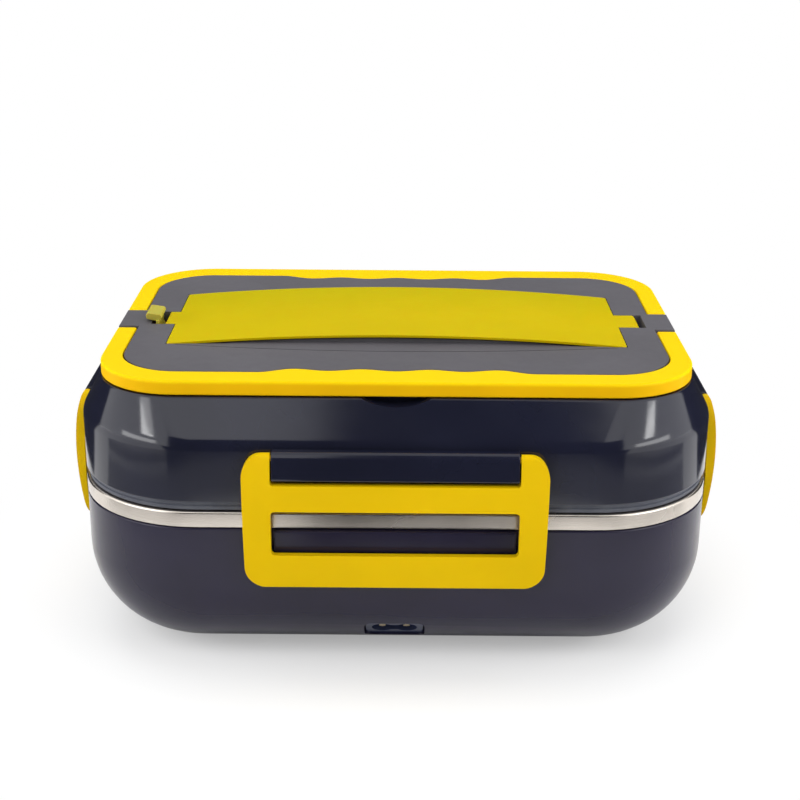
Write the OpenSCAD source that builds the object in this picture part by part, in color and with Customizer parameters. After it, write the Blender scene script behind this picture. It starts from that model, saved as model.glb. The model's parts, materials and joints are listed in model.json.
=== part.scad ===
// Electric lunch box: a heated base with a lift-out steel container, and a lift-off lid that four
// snap latches hold down. Two carrying handles fold flat round a cutlery tray under its own cover.
// Millimetres, +Z up, front at -Y. The origin is on the table, under the middle of the case.

/* [Case] */
// Width of the case over its side walls
body_w = 225; // [218:1:236]
// Depth of the case over its front and rear walls
body_d = 162; // [156:1:172]
// Radius of the case corners, seen from above
corner_r = 44; // [40:1:48]
// Radius of the rounding from the walls to the bottom
base_round = 35; // [32:1:36]
// Thickness of the case wall and floor
case_wall = 2.2; // [1.8:0.1:2.8]
// Height of the case rim above the table
rim_z = 56; // [55:0.5:62]
// Thickness of the raised lip that the container hangs on
lip_t = 2.2; // [1.6:0.1:3]
// Width of the catch that the front and rear latches clip over
catch_w = 82.5; // [70:0.5:84]
// Width of the catch that the side latches clip over
side_catch_w = 41; // [30:0.5:41.5]
// Height of a catch
catch_h = 7.8; // [5:0.1:8]
// How far a catch stands out from the wall
catch_out = 1.9; // [1:0.1:1.9]

/* [Feet and bottom cover] */
// Height that the rubber feet lift the case by
foot_h = 1; // [0.6:0.1:2]
// Diameter of a rubber foot
foot_d = 12; // [8:0.5:14]
// Depth of the seat that a foot is glued into
foot_seat = 0.8; // [0.4:0.1:1.2]
// Distance from the edge of the bottom cover to a foot
foot_margin = 4; // [2:0.5:7]
// Distance between the feet, front to rear
foot_span_y = 72; // [40:1:80]
// Width of the bottom cover
cover_plate_w = 120; // [112:1:122]
// Depth of the bottom cover
cover_plate_d = 84; // [80:1:90]
// Corner radius of the bottom cover
cover_plate_r = 12; // [7:1:16]
// Thickness of the bottom cover
cover_plate_t = 2; // [1.4:0.1:2.4]
// Width of the seat under the edge of the bottom cover
cover_seat = 6; // [6:0.5:8]

/* [Container] */
// Height of the steel band round the container
flange_h = 5.8; // [4:0.2:8]
// Thickness of the container's steel
steel_t = 0.6; // [0.4:0.1:1]
// Thickness of the rolled edge of the band
skirt_t = 0.8; // [0.5:0.1:1.2]
// Width of the container's flange, from the case wall to the tub
flange_w = 9.5; // [9.5:0.5:14]
// Height of the tub's underside above the table
tub_z = 24; // [23.5:0.5:26]
// Radius of the rounding at the bottom of the tub
tub_round = 14; // [8:1:16]

/* [Liner and heater] */
// Thickness of the plastic liner round the container
liner_t = 1.6; // [1.2:0.1:2]
// Air gap between the tub and the liner
liner_gap = 0.9; // [0.5:0.1:1.2]
// Height of the liner's flange above the table
liner_flange_z = 52; // [46:0.5:53]
// Width of the heater plate
heater_w = 130; // [110:1:140]
// Depth of the heater plate
heater_d = 84; // [80:1:96]
// Thickness of the heater plate
heater_t = 2; // [1.5:0.1:2.5]
// Length of the heating element
ptc_l = 60; // [54:1:62]
// Width of the heating element
ptc_w = 24; // [22:1:28]
// Thickness of the heating element
ptc_t = 5; // [4:0.2:6]
// Distance between the two heater screws
heater_screw_span = 74; // [73:1:90]
// Diameter of the thermostat
thermostat_d = 16; // [12:0.5:17]
// Diameter of the thermal fuse
fuse_d = 4; // [3:0.2:4.4]
// Diameter of an insulated lead
lead_d = 1.6; // [1.2:0.1:1.7]

/* [Power inlet] */
// Width of the pocket in the rounded front edge
inlet_w = 21.3; // [20.6:0.1:24]
// Height of the pocket, along the rounded edge
inlet_h = 12.5; // [11.6:0.1:13]
// Angle that the inlet faces down by
inlet_tilt = 44; // [42:1:46]
// How far the face of the inlet lies below the rounded edge
inlet_recess = 1.25; // [0.9:0.05:1.6]
// Distance between the two contact pins
pin_pitch = 8.6; // [8.2:0.1:9]
// Diameter of a contact pin
pin_d = 2.4; // [2:0.1:2.4]

/* [Lid] */
// Thickness of the lid's walls
lid_wall = 2.2; // [1.8:0.1:2.6]
// Height of the seal that shows between lid and container
gasket_h = 3.4; // [2:0.1:4]
// Height of the lid's upright side
lid_side_h = 21; // [20:0.5:26]
// Height of the sloping shoulder
shoulder_h = 14.1; // [12:0.1:18]
// How far the shoulder leans in
shoulder_in = 8; // [6:0.5:9]
// Corner radius at the top of the shoulder
shoulder_r = 29; // [27:0.5:34]
// Thickness of the inner lid
inner_lid_t = 1.6; // [1.2:0.1:2]
// Width of the finger notch under the front handle
notch_w = 24; // [16:1:30]
// Height of the finger notch
notch_h = 2.6; // [1.5:0.1:3]

/* [Handles] */
// Thickness of a handle
handle_t = 5.2; // [4.8:0.1:6]
// Width of a handle's side arm
arm_w = 7.15; // [6:0.05:8]
// Width of a handle's bar
bar_w = 10.4; // [8:0.1:12]
// Inner corner radius of a handle
handle_inner_r = 21.5; // [18:0.5:24]
// Distance between neighbouring finger waves
wave_pitch = 23.4; // [20:0.2:25]
// How far the finger waves stand in from the bar
wave_out = 3.8; // [2:0.1:4]
// Depth of the dips between the finger waves
wave_dip = 1.9; // [0.5:0.1:1.9]
// Length of the fixed bridge between the two handles
bridge_l = 20; // [16.8:0.2:24]
// Diameter of the stub axles that the handles turn on
handle_axle_d = 3; // [2:0.1:3.2]

/* [Cutlery tray] */
// Depth of the cutlery cover, front to rear
cover_d = 63.6; // [60:0.2:70]
// Distance from the end of the cover to the edge of the top plate
cover_margin = 13.4; // [13.2:0.1:14]
// Thickness of the cutlery cover
cover_t = 1.2; // [1:0.1:1.4]
// How far the cover arches up in the middle
cover_rise = 3.8; // [2.6:0.1:5]
// Width of the cover's end tabs
tab_w = 15.4; // [12:0.2:16]
// Width of the rim that the cover lies on
tray_rim = 4; // [3.5:0.5:8]
// Depth of the tray below the top of the lid
tray_depth = 14; // [10:0.5:14]
// Corner radius of the tray
tray_r = 8; // [4:0.5:12]
// Thickness of the tray's walls
tray_wall = 1.8; // [1.2:0.1:2]
// Thickness of the top plate
plate_t = 2; // [1.6:0.1:2.4]
// Radius of the cover's hinge barrel
barrel_r = 1.8; // [1.8:0.05:2]
// Width of the finger latch on the cover
thumb_w = 13.4; // [12:0.2:15]
// Width of the finger latch's head
thumb_head_w = 11.4; // [9:0.2:12]

/* [Latches] */
// Width of the front and rear latches at the top
latch_w = 103.2; // [102.8:0.2:110]
// Width of the side latches at the top
side_latch_w = 58; // [56:0.5:66]
// How much narrower a latch is at the bottom
latch_taper = 0.8; // [0:0.2:4]
// Height of a latch
latch_h = 49.4; // [49:0.2:50]
// Width of a latch's side legs
leg_w = 9.6; // [8:0.1:9.8]
// Width of a side latch's legs
side_leg_w = 8; // [7:0.1:8]
// Height of the lower bar
lower_bar_h = 13.1; // [10:0.1:13.4]
// Height of the window
window_h = 16.5; // [15:0.1:17]
// Height of the upper bar
upper_bar_h = 9.1; // [7:0.1:9.3]
// Corner radius of a latch
latch_r = 8; // [5:0.5:8]
// Radius of a latch's rounded top end
knuckle_r = 1.9; // [1.6:0.05:1.9]
// Diameter of the pins that a latch turns on
latch_pin_d = 2.2; // [1.8:0.1:2.4]
// Length of the pins that a latch turns on
latch_pin_l = 3; // [2:0.1:4]

/* [Screws] */
// Diameter of a screw head
screw_head_d = 5.2; // [4.4:0.1:5.4]
// Height of a screw head
screw_head_h = 1.2; // [0.8:0.1:1.3]
// Diameter of a screw shank
screw_d = 2.6; // [2:0.1:2.8]
// Diameter of the bosses that take the screws
boss_d = 7; // [6:0.1:8]

/* [Hidden] */
$fn = 64;

// Clearances and small allowances
lift_gap = 0.3;         // between the parts that lift off and what they stand on
seal_gap = 0.2;         // between the seal and the steel flange
fit_gap = 0.3;          // round a part that is fixed in its place
turn_gap = 0.35;        // beside a part that swings
pass_gap = 0.2;         // between a shut latch and its catch
bore_gap = 0.07;        // round an axle in its bore, on the radius
screw_gap = 0.05;       // round a screw in its hole, on the radius
cut = 1;                // how far a cutting shape runs past the face it cuts
thin = 0.01;            // thickness of the slices that a hull joins
arc_fn = 720;           // facets on the very large arch radii

// Levels above the table
case_z = foot_h;
case_top = rim_z - lift_gap;
flange_top = rim_z + flange_h;
lip_top = flange_top - steel_t - lift_gap;
lid_z = flange_top + seal_gap + gasket_h;
crease_z = lid_z + lid_side_h;
ledge_z = crease_z + shoulder_h;
top_z = ledge_z + lift_gap + handle_t;
liner_floor_z = tub_z - seal_gap - heater_t;
heater_z = liner_floor_z;

// Outlines seen from above
half_w = body_w / 2;
half_d = body_d / 2;
lip_inset = skirt_t + lift_gap;
tub_w = body_w - 2 * flange_w;
tub_d = body_d - 2 * flange_w;
tub_r = corner_r - flange_w;
liner_inset = flange_w - liner_gap - liner_t;
shoulder_w = body_w - 2 * shoulder_in;
shoulder_d = body_d - 2 * shoulder_in;
handle_setback = 0.5;
handle_w = shoulder_w - 2 * handle_setback;
handle_d = shoulder_d - 2 * handle_setback;
handle_r = shoulder_r - handle_setback;
bar_in = handle_d / 2 - bar_w;
plate_w = handle_w - 2 * (arm_w + turn_gap);
plate_d = handle_d - 2 * (bar_w + turn_gap);
plate_r = handle_inner_r - turn_gap;

// Handle joints
arm_in = handle_w / 2 - arm_w;
handle_pivot_y = bridge_l / 2 + 2 * turn_gap + handle_t / 2;
handle_pivot_z = top_z - handle_t / 2;
axle_l = 2.6;

// Cutlery cover, its hinge on the right and its finger latch on the left
cover_half = plate_w / 2 - cover_margin;
tab_slot_w = tab_w + 2 * turn_gap;
hinge_x = plate_w / 2 - 6.7;
hinge_z = top_z - barrel_r;
hinge_axle_d = 2;
hinge_axle_l = 1.6;
slot_end = hinge_x + barrel_r + 2;
tray_w = 2 * (cover_half - tray_rim);
tray_d = cover_d - 2 * tray_rim;
tray_floor_z = top_z - tray_depth;
flank_rise = 0.9;
flank_run = 6.7;
cover_overhang = 1.2;
hump_margin = 12;
spring_t = 1;
spring_r = 1.4;
spring_x = -(plate_w / 2 - 8.3);
spring_z = top_z - 2.6;
spring_axis_z = spring_z - spring_r - spring_t / 2;
thumb_slot_end = -(plate_w / 2 - 4.5);

// Latches: distances out from the wall, and levels
pivot_out = 2.2;
pivot_z = crease_z - 3.7;
latch_top = pivot_z + knuckle_r;
latch_bottom = latch_top - latch_h;
latch_gap_z = latch_bottom + lower_bar_h;
window_top = latch_gap_z + window_h;
notch_floor = window_top + upper_bar_h;
bracket_out = 5;
bracket_low = notch_floor + 1.2;
bracket_top = crease_z - 1.4;
latch_tip_r = 0.65;
latch_tip_out = catch_out + latch_tip_r + pass_gap;
bow_out = 4.5;
bow_in = 0.6;
bow_steps = 12;

// Power inlet
// (t is the distance out from the middle of the rounding, s runs up along its surface)
inlet_t = base_round - inlet_recess;
inlet_flange = 1.2;
inlet_body_w = pin_pitch + 10;
inlet_body_h = 10.2;
inlet_body_l = 8;
inlet_seat = 1.6;
sleeve_t = 1.5;
socket_r = 3.75;
socket_half_h = 2.4;
socket_depth = 6.8;
pin_tip = 0.8;
pin_tail = 1.7;

// Heater and its leads
bracket_t = 1.2;
bracket_w = 12;
thermostat_y = cover_plate_d / 2 - 16;
thermostat_cap = 4;
thermostat_body = 6.5;
thermostat_low = heater_z - thermostat_cap - thermostat_body;
terminal_x = 4.5;
terminal_t = 0.8;
terminal_h = 4;
fuse_y = -20;
fuse_l = 11;
fuse_wire_d = 1;
fuse_wire_l = 18;
lead_sides = 8;
lead_bend = 2.2;

// Bottom cover, feet and screws
foot_x = cover_plate_w / 2 + foot_d / 2 + foot_margin;
cover_screw_x = cover_plate_w / 2 - cover_seat / 2;
cover_screw_y = 20;
cover_slot_margin = 22;
cover_slot_l = cover_plate_d - 2 * cover_slot_margin;
boss_h = 6;
pad_top = case_z + case_wall + cover_plate_t;
lid_space = 12.3;
inner_lid_top = ledge_z - lid_wall - lid_space;
lid_screw_in = 18;
lid_screw_back = 25.5;
lid_screw_x = tub_w / 2 - lid_screw_in;
lid_screw_y = tub_d / 2 - lid_screw_back;
lid_screw_bite = 7;
seal_rib_in = 4.2;      // the seal's rib and the groove that holds it, in from the outline
seal_rib_w = 1.6;

function bezier(a, b, c, d, t) =
    pow(1 - t, 3) * a + 3 * pow(1 - t, 2) * t * b + 3 * (1 - t) * t * t * c + pow(t, 3) * d;
function bow(a, b, c, d) = [for (i = [0:bow_steps]) bezier(a, b, c, d, i / bow_steps)];
function reversed(list) = [for (i = [len(list) - 1:-1:0]) list[i]];

// How far the finger waves stand in from the bar, at a distance x from the middle
function wave(x) =
    abs(x) < 1.5 * wave_pitch
        ? (wave_out + wave_dip) / 2 - (wave_out - wave_dip) / 2 * cos(360 * x / wave_pitch)
        : wave_out / 2 * (1 + cos(min(180, 180 * (abs(x) - 1.5 * wave_pitch) / (0.55 * wave_pitch))));

// Radius of an arc that rises by rise over a half chord
function arc_radius(half, rise) = (half * half + rise * rise) / (2 * rise);

// ---------- Shapes that several pieces share ----------

module plan(w, d, r) {
    square([w - 2 * r, d], center = true);
    square([w, d - 2 * r], center = true);
    for (x = [-1, 1], y = [-1, 1])
        translate([x * (w / 2 - r), y * (d / 2 - r)]) circle(r);
}

module slab(w, d, r, z0, z1) {
    translate([0, 0, z0]) linear_extrude(z1 - z0) plan(w, d, r);
}

// A flat ring between two outlines, inset from the body outline
module body_ring(inset_out, inset_in, z0, z1) {
    difference() {
        slab(body_w - 2 * inset_out, body_d - 2 * inset_out, corner_r - inset_out, z0, z1);
        slab(body_w - 2 * inset_in, body_d - 2 * inset_in, corner_r - inset_in, z0 - cut, z1 + cut);
    }
}

// Half and full sections of a bowl with a rounding f at its bottom
module bowl_half(r, f, z0, z1) {
    intersection() {
        union() {
            translate([0, z0]) square([max(r - f, thin), z1 - z0]);
            translate([0, z0 + f]) square([r, z1 - z0 - f]);
            translate([r - f, z0 + f]) circle(f);
        }
        translate([0, z0]) square([r, z1 - z0]);
    }
}

module bowl_full(w, f, z0, z1) {
    translate([-w / 2 + f, z0]) square([w - 2 * f, z1 - z0]);
    translate([-w / 2, z0 + f]) square([w, z1 - z0 - f]);
    intersection() {
        for (x = [-1, 1]) translate([x * (w / 2 - f), z0 + f]) circle(f);
        translate([-w / 2, z0]) square([w, f]);
    }
}

// A solid with upright walls, round corners and a rounded bottom
module bowl(w, d, r, f, z0, z1) {
    for (x = [-1, 1], y = [-1, 1])
        translate([x * (w / 2 - r), y * (d / 2 - r), 0]) rotate_extrude() bowl_half(r, f, z0, z1);
    across(w - 2 * r) bowl_full(d, f, z0, z1);
    rotate([0, 0, 90]) across(d - 2 * r) bowl_full(w, f, z0, z1);
}

// Extrudes an outline drawn in Y and Z along X
module across(width) {
    rotate([90, 0, 90]) translate([0, 0, -width / 2]) linear_extrude(width) children();
}

// Extrudes an outline drawn in X and Z along Y
module along_y(depth) {
    rotate([90, 0, 0]) translate([0, 0, -depth / 2]) linear_extrude(depth) children();
}

// Turns what is drawn at the front wall to side k: 0 front, 1 right, 2 rear, 3 left
module at_wall(k) {
    rotate([0, 0, 90 * k]) translate([0, k % 2 == 0 ? -half_d : -half_w, 0]) children();
}

// Extrudes an outline drawn in X and Z from y0 back to y1
module along_front(y0, y1) {
    translate([0, y1, 0]) rotate([90, 0, 0]) linear_extrude(y1 - y0) children();
}

module at_corners(x, y) {
    for (i = [-1, 1], j = [-1, 1]) translate([i * x, j * y, 0]) children();
}

module rod_x(d, l) {
    rotate([0, 90, 0]) cylinder(h = l, d = d, center = true);
}

module rod_y(d, l) {
    rotate([90, 0, 0]) cylinder(h = l, d = d, center = true);
}

// A screw that points up, its head's lower face at z = 0
module screw_up(l) {
    cylinder(h = screw_head_h, d = screw_head_d);
    translate([0, 0, screw_head_h]) cylinder(h = l, d = screw_d);
}

module boss(z0, z1, hole_z1) {
    difference() {
        translate([0, 0, z0]) cylinder(h = z1 - z0, d = boss_d);
        translate([0, 0, z0 - cut]) cylinder(h = hole_z1 - z0 + cut, d = screw_d + 2 * screw_gap);
    }
}

// ---------- Base ----------

module outer_case() {
    color("#37353d") {
        difference() {
            union() {
                case_walls();
                case_floor_pad();
                inlet_sleeve();
                for (k = [0:3]) at_wall(k) catch(k % 2 == 0 ? catch_w : side_catch_w);
            }
            inlet_pocket();
            bottom_cover_seat();
            at_corners(foot_x, foot_span_y / 2)
                translate([0, 0, case_z - cut]) cylinder(h = foot_seat + cut, d = foot_d + 2 * fit_gap);
        }
        at_corners(cover_screw_x, cover_screw_y)
            boss(pad_top, pad_top + boss_h, pad_top + boss_h - cut);
    }
}

module case_walls() {
    difference() {
        bowl(body_w, body_d, corner_r, base_round, case_z, case_top);
        bowl(body_w - 2 * case_wall, body_d - 2 * case_wall, corner_r - case_wall,
            base_round - case_wall, case_z + case_wall, rim_z);
    }
    body_ring(case_wall - cut / 2, lip_inset + lip_t, liner_flange_z - 4, case_top);
    body_ring(lip_inset, lip_inset + lip_t, case_top - cut, lip_top);
    body_ring(lip_inset, liner_inset - fit_gap, liner_flange_z - 4, liner_flange_z);
}

module case_floor_pad() {
    slab(cover_plate_w + 12, cover_plate_d + 10, cover_plate_r + 4, case_z + cut, pad_top);
}

module bottom_cover_seat() {
    slab(cover_plate_w + 2 * fit_gap, cover_plate_d + 2 * fit_gap, cover_plate_r + fit_gap,
        case_z - cut, case_z + cover_plate_t);
    slab(cover_plate_w - 2 * cover_seat, cover_plate_d - 2 * cover_seat, cover_plate_r - cover_seat,
        case_z - cut, pad_top + cut);
    at_corners(cover_screw_x, cover_screw_y)
        translate([0, 0, case_z]) cylinder(h = pad_top - case_z + cut, d = screw_d + 2 * screw_gap);
}

module catch(width) {
    across(width)
        polygon([[cut, case_top - catch_h], [-catch_out + 0.6, case_top - catch_h],
            [-catch_out, case_top - catch_h + 0.8], [-catch_out, case_top - 0.6],
            [-catch_out + 0.6, case_top], [cut, case_top]]);
}

// Places what is drawn round the inlet's own axis: -Y points out of the rounded front edge
module at_inlet() {
    translate([0, -half_d + base_round, case_z + base_round]) rotate([inlet_tilt, 0, 0]) children();
}

// Extrudes an outline between two distances from the middle of the rounding
module outward(t0, t1) {
    translate([0, -t0, 0]) rotate([90, 0, 0]) linear_extrude(t1 - t0) children();
}

// The thickened wall that holds the inlet
module inlet_sleeve() {
    intersection() {
        bowl(body_w - case_wall, body_d - case_wall, corner_r - case_wall / 2,
            base_round - case_wall / 2, case_z + case_wall / 2, rim_z);
        at_inlet() outward(inlet_t - inlet_flange - inlet_seat, base_round + cut)
            plan(inlet_w + 2 * sleeve_t, inlet_h + 2 * sleeve_t, 3);
    }
}

module inlet_pocket() {
    at_inlet() {
        outward(inlet_t - inlet_flange, base_round + cut) plan(inlet_w, inlet_h, 2.5);
        outward(inlet_t - inlet_flange - inlet_seat - cut, inlet_t)
            plan(inlet_body_w + fit_gap, inlet_body_h + fit_gap, 2);
    }
}

module bottom_cover() {
    head_seat = screw_head_h + 0.1;
    color("#2c2b30") difference() {
        slab(cover_plate_w, cover_plate_d, cover_plate_r, case_z, case_z + cover_plate_t);
        at_corners(cover_screw_x, cover_screw_y) translate([0, 0, case_z - cut]) {
            cylinder(h = head_seat + cut, d = screw_head_d + 0.2);
            cylinder(h = cover_plate_t + 2 * cut, d = screw_d + 2 * screw_gap);
        }
        for (i = [-3:3]) translate([i * 9, 0, case_z - cut]) linear_extrude(0.6 + cut)
            plan(3, cover_slot_l, 1.4);
    }
}

module rubber_feet() {
    color("#1c1c1e") at_corners(foot_x, foot_span_y / 2) difference() {
        cylinder(h = foot_h + foot_seat, d = foot_d);
        translate([0, 0, -cut]) cylinder(h = cut + foot_h / 2, d = foot_d / 2.4);
    }
}

module bottom_screws() {
    color("silver") at_corners(cover_screw_x, cover_screw_y) translate([0, 0, case_z + 0.1])
        screw_up(cover_plate_t + case_wall + boss_h - 3);
}

module inner_liner() {
    w = body_w - 2 * liner_inset;
    d = body_d - 2 * liner_inset;
    r = corner_r - liner_inset;
    f = tub_round + liner_gap + liner_t;
    rim_inset = lip_inset + lip_t + fit_gap;
    color("#8f9096") difference() {
        union() {
            bowl(w, d, r, f, liner_floor_z - liner_t, liner_flange_z + liner_t);
            slab(body_w - 2 * rim_inset, body_d - 2 * rim_inset, corner_r - rim_inset,
                liner_flange_z, liner_flange_z + liner_t);
        }
        bowl(w - 2 * liner_t, d - 2 * liner_t, r - liner_t, f - liner_t, liner_floor_z, flange_top);
        slab(heater_w - 12, heater_d - 12, 6, liner_floor_z - liner_t - cut, liner_floor_z + cut);
    }
}

module heater_plate() {
    color("#b9bcc0") {
        slab(heater_w, heater_d, 8, heater_z, heater_z + heater_t);
        for (x = [-1, 1]) translate([x * heater_screw_span / 2, 0, 0]) difference() {
            translate([0, 0, heater_z - ptc_t]) cylinder(h = ptc_t + cut, d = boss_d);
            translate([0, 0, heater_z - ptc_t - cut]) cylinder(h = ptc_t, d = screw_d + 2 * screw_gap);
        }
    }
}

module ptc_heater() {
    color("#c9c4b8") translate([0, 0, heater_z - ptc_t]) linear_extrude(ptc_t) plan(ptc_l, ptc_w, 1.5);
}

module heater_bracket() {
    color("#9a9da1") translate([0, 0, heater_z - ptc_t - bracket_t]) linear_extrude(bracket_t)
        difference() {
            plan(heater_screw_span + 10, bracket_w, bracket_w / 2 - 1);
            for (x = [-1, 1]) translate([x * heater_screw_span / 2, 0]) circle(d = screw_d + 0.4);
        }
}

module heater_screws() {
    color("silver") for (x = [-1, 1])
        translate([x * heater_screw_span / 2, 0, heater_z - ptc_t - bracket_t - screw_head_h])
            screw_up(bracket_t + ptc_t - 2 * cut);
}

module thermostat() {
    color("#6b4a3a") translate([0, thermostat_y, 0]) {
        translate([0, 0, heater_z - thermostat_cap]) cylinder(h = thermostat_cap, d = thermostat_d);
        translate([0, 0, thermostat_low]) cylinder(h = thermostat_body, d = thermostat_d - 2);
        for (x = [-1, 1])
            translate([x * terminal_x - terminal_t / 2, -2.5, thermostat_low - terminal_h])
                cube([terminal_t, 5, terminal_h + cut]);
    }
}

module thermal_fuse() {
    color("#d7d2c4") translate([0, fuse_y, heater_z - fuse_d / 2]) {
        rod_x(fuse_d, fuse_l);
        rod_x(fuse_wire_d, fuse_wire_l);
    }
}

module insulation_sheet() {
    color("#d9d4c6") slab(cover_plate_w - 2 * cover_seat - 4, cover_plate_d - 2 * cover_seat - 4,
        cover_plate_r - cover_seat, case_z + cover_plate_t, case_z + cover_plate_t + 1);
}

module power_inlet() {
    color("#1f2a4a") at_inlet() difference() {
        union() {
            outward(inlet_t - inlet_flange, inlet_t) plan(inlet_w - fit_gap, inlet_h - fit_gap, 2.35);
            outward(inlet_t - inlet_body_l, inlet_t - inlet_flange / 2) plan(inlet_body_w, inlet_body_h, 1.8);
        }
        outward(inlet_t - socket_depth, inlet_t + cut) {
            for (x = [-1, 1]) translate([x * pin_pitch / 2, 0]) circle(socket_r);
            square([pin_pitch, 2 * socket_half_h], center = true);
        }
        pin_rods(pin_d + 2 * screw_gap, inlet_t - inlet_body_l - cut, inlet_t);
    }
}

module pin_rods(d, t0, t1) {
    outward(t0, t1) for (x = [-1, 1]) translate([x * pin_pitch / 2, 0]) circle(d = d);
}

module inlet_pins() {
    color("#c8a95a") at_inlet() pin_rods(pin_d, inlet_t - inlet_body_l - pin_tail, inlet_t - pin_tip);
}

// A lead through a list of points, bent round at each of them
module lead(points) {
    ends = len(points) - 1;
    route = concat([points[0]],
        [for (i = [1:ends - 1]) each bend(points[i - 1], points[i], points[i + 1])], [points[ends]]);
    along = unit(route[1] - route[0]);
    across = unit(cross(along, [0.3, 0.5, 0.8]));
    up = cross(along, across);
    start = [for (j = [0:lead_sides - 1]) let (a = 360 * j / lead_sides)
        route[0] + lead_d / 2 * (cos(a) * across + sin(a) * up)];
    rings = sweep(route, start);
    n = lead_sides;
    last = n * (len(rings) - 1);
    polyhedron(
        points = [for (ring = rings) each ring],
        faces = concat(
            [[for (j = [0:n - 1]) j], [for (j = [n - 1:-1:0]) last + j]],
            [for (i = [0:len(rings) - 2], j = [0:n - 1])
                [n * i + j, n * i + n + j, n * i + n + (j + 1) % n, n * i + (j + 1) % n]]
        )
    );
}

function unit(v) = v / norm(v);

// Three points that round the corner at b
function bend(a, b, c) =
    let (back = lead_bend * unit(a - b), on = lead_bend * unit(c - b))
    [b + back, b + (back + on) / 4, b + on];

// Carries a ring of points along a route, cut at each corner by the plane that halves its angle
function sweep(route, ring, i = 1) =
    i == len(route)
        ? [ring]
        : let (
            along = unit(route[i] - route[i - 1]),
            square = i == len(route) - 1 ? along : unit(along + unit(route[i + 1] - route[i]))
        )
        concat([ring], sweep(route,
            [for (q = ring) q + along * (((route[i] - q) * square) / (along * square))], i + 1));

// A point beside the inlet, from its place across, out and along the rounding
function inlet_point(x, t, s) = [
    x,
    -half_d + base_round - t * cos(inlet_tilt) - s * sin(inlet_tilt),
    case_z + base_round - t * sin(inlet_tilt) + s * cos(inlet_tilt)
];

module power_leads() {
    low_z = thermostat_low - terminal_h / 2;
    fuse_z = heater_z - fuse_d / 2;
    ptc_low = heater_z - ptc_t;
    ptc_y = bracket_w / 2 + 2.5;
    fuse_x = ptc_l / 2 - 12;
    ptc_x = ptc_l / 2 - 6;
    tail_t = inlet_t - inlet_body_l - pin_tail / 2 - 0.3;
    start = -pin_d / 2 - 0.05;
    low_s = start - 8;
    entry_y = fuse_y - 18;
    terminal_side = terminal_x + terminal_t / 2;
    x = pin_pitch / 2;
    color("#a8322a") {
        lead([inlet_point(-x, tail_t, start), inlet_point(-x, tail_t, low_s),
            [-fuse_x + 2, entry_y, low_z + 4], [-fuse_x + 2, fuse_y, fuse_z],
            [-fuse_wire_l / 2, fuse_y, fuse_z]]);
        lead([[fuse_wire_l / 2, fuse_y, fuse_z], [fuse_x, fuse_y, fuse_z], [fuse_x, fuse_y, low_z],
            [fuse_x, thermostat_y, low_z], [terminal_side, thermostat_y, low_z]]);
        lead([[-terminal_side, thermostat_y, low_z], [-ptc_x, thermostat_y, low_z],
            [-ptc_x, ptc_y, low_z], [-ptc_x, ptc_y, ptc_low]]);
        lead([[ptc_x, -ptc_y, ptc_low], [ptc_x, -ptc_y, low_z], [ptc_x, entry_y, low_z],
            inlet_point(x, tail_t, low_s), inlet_point(x, tail_t, start)]);
    }
}

// ---------- Container ----------

module steel_container() {
    color("#b9b4ab") {
        difference() {
            union() {
                bowl(tub_w, tub_d, tub_r, tub_round, tub_z, flange_top);
                slab(body_w, body_d, corner_r, flange_top - steel_t, flange_top);
            }
            bowl(tub_w - 2 * steel_t, tub_d - 2 * steel_t, tub_r - steel_t, tub_round - steel_t,
                tub_z + steel_t, flange_top + cut);
        }
        body_ring(0, skirt_t, rim_z, flange_top - steel_t / 2);
    }
}

// ---------- Lid ----------

// The sloping shoulder, shrunk by inset all round, from z0 to z1
module shoulder(inset, z0, z1) {
    hull() {
        slab(body_w - 2 * inset, body_d - 2 * inset, corner_r - inset, z0, z0 + thin);
        slab(shoulder_w - 2 * inset, shoulder_d - 2 * inset, shoulder_r - inset, z1 - thin, z1);
    }
}

module lid_shell() {
    notch_r = arc_radius(notch_w / 2, notch_h);
    notch_low = ledge_z - notch_h;
    color("#3a3944") {
        difference() {
            union() {
                slab(body_w, body_d, corner_r, lid_z, crease_z);
                shoulder(0, crease_z, ledge_z);
                for (k = [0:3]) at_wall(k) bracket(bracket_w(k));
            }
            difference() {
                union() {
                    slab(body_w - 2 * lid_wall, body_d - 2 * lid_wall, corner_r - lid_wall,
                        lid_z - cut, crease_z - lid_wall / 3);
                    shoulder(lid_wall, crease_z - lid_wall / 3, ledge_z - lid_wall);
                }
                translate([-notch_w / 2 - 2, -shoulder_d / 2, notch_low - lid_wall])
                    cube([notch_w + 4, 7, notch_h + cut]);
            }
            slab(tray_w + 2 * tray_wall + 2 * fit_gap, tray_d + 2 * tray_wall + 2 * fit_gap,
                tray_r + tray_wall + fit_gap, ledge_z - lid_wall - cut, ledge_z + cut);
            translate([0, 0, notch_low + notch_r]) along_front(-half_d - cut, -shoulder_d / 2 + 4.5)
                circle(notch_r, $fn = 128);
            for (k = [0:3]) at_wall(k) bracket_bores(bracket_w(k));
        }
        at_corners(lid_screw_x, lid_screw_y)
            boss(inner_lid_top, ledge_z - lid_wall + cut / 2, ledge_z - lid_wall - 2);
    }
}

function latch_inner(k) = k % 2 == 0 ? latch_w / 2 - leg_w : side_latch_w / 2 - side_leg_w;
function bracket_w(k) = 2 * (latch_inner(k) - turn_gap);

// The block on the lid wall between the latch's legs
module bracket(width) {
    across(width)
        polygon([[1.5, bracket_low], [-bracket_out + 2, bracket_low], [-bracket_out + 0.4, bracket_low + 2],
            [-bracket_out, bracket_low + 4], [-bracket_out, pivot_z - 0.1], [-bracket_out + 1.4, bracket_top],
            [1.5, bracket_top]]);
}

module bracket_bores(width) {
    for (x = [-1, 1]) translate([x * width / 2, -pivot_out, pivot_z])
        rod_x(latch_pin_d + 2 * bore_gap, 2 * (latch_pin_l + 0.3));
}

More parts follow.
